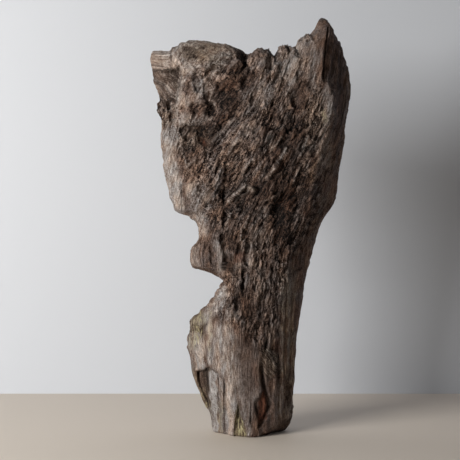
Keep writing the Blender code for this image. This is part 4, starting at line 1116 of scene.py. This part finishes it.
# The darker the wood, the browner it is.
paleness = add(tree, "ShaderNodeRGBToBW", {"Color": wood}).outputs["Val"]
paleness = add(tree, "ShaderNodeMath", {0: paleness}, operation="SQRT").outputs[0]
paleness = add(
    tree, "ShaderNodeMapRange", {"Value": paleness, "From Min": 0.1, "From Max": 0.6}
).outputs["Result"]
brown = add(
    tree, "ShaderNodeMix", {0: paleness, 6: linear("#ffe0cc"), 7: linear("#ffffff")}, data_type="RGBA"
).outputs[2]
wood = add(
    tree, "ShaderNodeMix", {0: 1.0, 6: wood, 7: brown}, data_type="RGBA", blend_type="MULTIPLY"
).outputs[2]
tree.links.new(wood, shader.inputs["Base Color"])
raised = add(tree, "ShaderNodeMix", {0: 0.3, 2: fibre_tops, 3: speckle}).outputs[0]
raised = add(tree, "ShaderNodeMath", {0: checks, 1: 0.4, 2: raised}, operation="MULTIPLY_ADD").outputs[0]
bumps = add(
    tree, "ShaderNodeBump", {"Height": raised, "Strength": 1.0, "Distance": BUMP_HEIGHT * MM}
).outputs["Normal"]
tree.links.new(bumps, shader.inputs["Normal"])
mesh.materials.append(finish)


# The pale floor and backdrop, which aren't part of the wood: two painted sheets, one level and one that
# stands a little way behind it.

FLOOR_FRONT = -3.0
WALL_Y = 0.30
WALL_HEIGHT = 3.0
HALF_WIDTH = 3.0


def painted(name, hex_colour, rough):
    """A plain matt paint."""
    paint = bpy.data.materials.new(name)
    paint.use_nodes = True
    paint.node_tree.nodes["Principled BSDF"].inputs["Base Color"].default_value = linear(hex_colour)
    paint.node_tree.nodes["Principled BSDF"].inputs["Roughness"].default_value = rough
    return paint


def sheet(name, corners, finish):
    """One flat face through four corners, as a part of the stage."""
    flat = bpy.data.meshes.new(name)
    flat.from_pydata(corners, [], [(0, 1, 2, 3)])
    flat.materials.append(finish)
    made = bpy.data.objects.new(name, flat)
    bpy.context.scene.collection.objects.link(made)


def one_sided(paint):
    """Let a sheet's back be seen through and lit through, so that the wood shows from behind."""
    tree = paint.node_tree
    back = add(tree, "ShaderNodeNewGeometry").outputs["Backfacing"]
    shadow = add(tree, "ShaderNodeLightPath").outputs["Is Shadow Ray"]
    back = add(tree, "ShaderNodeMath", {0: back, 1: shadow}, operation="MAXIMUM").outputs[0]
    clear = add(tree, "ShaderNodeBsdfTransparent").outputs[0]
    solid = tree.nodes["Principled BSDF"].outputs[0]
    both = add(tree, "ShaderNodeMixShader", {0: back, 1: solid, 2: clear})
    tree.links.new(both.outputs[0], tree.nodes["Material Output"].inputs["Surface"])
    return paint


sheet(
    "floor",
    [
        (-HALF_WIDTH, FLOOR_FRONT, 0), (HALF_WIDTH, FLOOR_FRONT, 0),
        (HALF_WIDTH, WALL_Y, 0), (-HALF_WIDTH, WALL_Y, 0),
    ],
    painted("pale_floor_paint", "#d8cdc0", 0.6),
)
sheet(
    "backdrop",
    [
        (-HALF_WIDTH, WALL_Y, 0), (HALF_WIDTH, WALL_Y, 0),
        (HALF_WIDTH, WALL_Y, WALL_HEIGHT), (-HALF_WIDTH, WALL_Y, WALL_HEIGHT),
    ],
    one_sided(painted("pale_wall_paint", "#cdd1d8", 0.8)),
)


# The camera looks level at the wood from the front, and a window's soft light comes from the left.
# Lengths here are in metres, and the lens in millimetres.

CAMERA_PLACE = (-0.0267, -1.3, 0.2443)
SENSOR_WIDTH = 36
LENS = 83.9
AIM = (0, 0, 0.25)
SKY_STRENGTH = 0.044

camera = bpy.data.objects.new("camera", bpy.data.cameras.new("camera"))
camera.data.sensor_width = SENSOR_WIDTH
camera.data.lens = LENS
camera.location = CAMERA_PLACE
camera.rotation_euler = (math.radians(90), 0, 0)
bpy.context.scene.collection.objects.link(camera)
bpy.context.scene.camera = camera


def soft_light(name, place, size, power, hex_colour):
    """A rectangle of light that faces the middle of the wood."""
    lamp = bpy.data.lights.new(name, "AREA")
    lamp.shape = "RECTANGLE"
    lamp.size, lamp.size_y = size
    lamp.energy = power
    lamp.color = linear(hex_colour)[:3]
    made = bpy.data.objects.new(name, lamp)
    made.location = place
    made.rotation_euler = (Vector(AIM) - Vector(place)).to_track_quat("-Z", "Y").to_euler()
    bpy.context.scene.collection.objects.link(made)


soft_light("window", (-1.25, -1.15, 0.62), (0.8, 0.8), 36.5, "#fffdf9")
soft_light("room", (1.3, 0.9, 0.7), (1.2, 1.2), 5, "#f6f4ff")
# The wood is lit faintly from all round, while the camera sees a plain grey beyond the sheets.
sky = bpy.data.worlds.new("sky")
sky.use_nodes = True
air = sky.node_tree
faint = air.nodes["Background"]
faint.inputs["Color"].default_value = linear("#dfe7f2")
faint.inputs["Strength"].default_value = SKY_STRENGTH
far_wall = add(air, "ShaderNodeBackground", {"Color": linear("#b9bdc3"), "Strength": 1.0}).outputs[0]
seen = add(air, "ShaderNodeLightPath").outputs["Is Camera Ray"]
room = add(air, "ShaderNodeMixShader", {0: seen, 1: faint.outputs[0], 2: far_wall}).outputs[0]
air.links.new(room, air.nodes["World Output"].inputs["Surface"])
bpy.context.scene.world = sky
bpy.context.scene.view_settings.view_transform = "Standard"
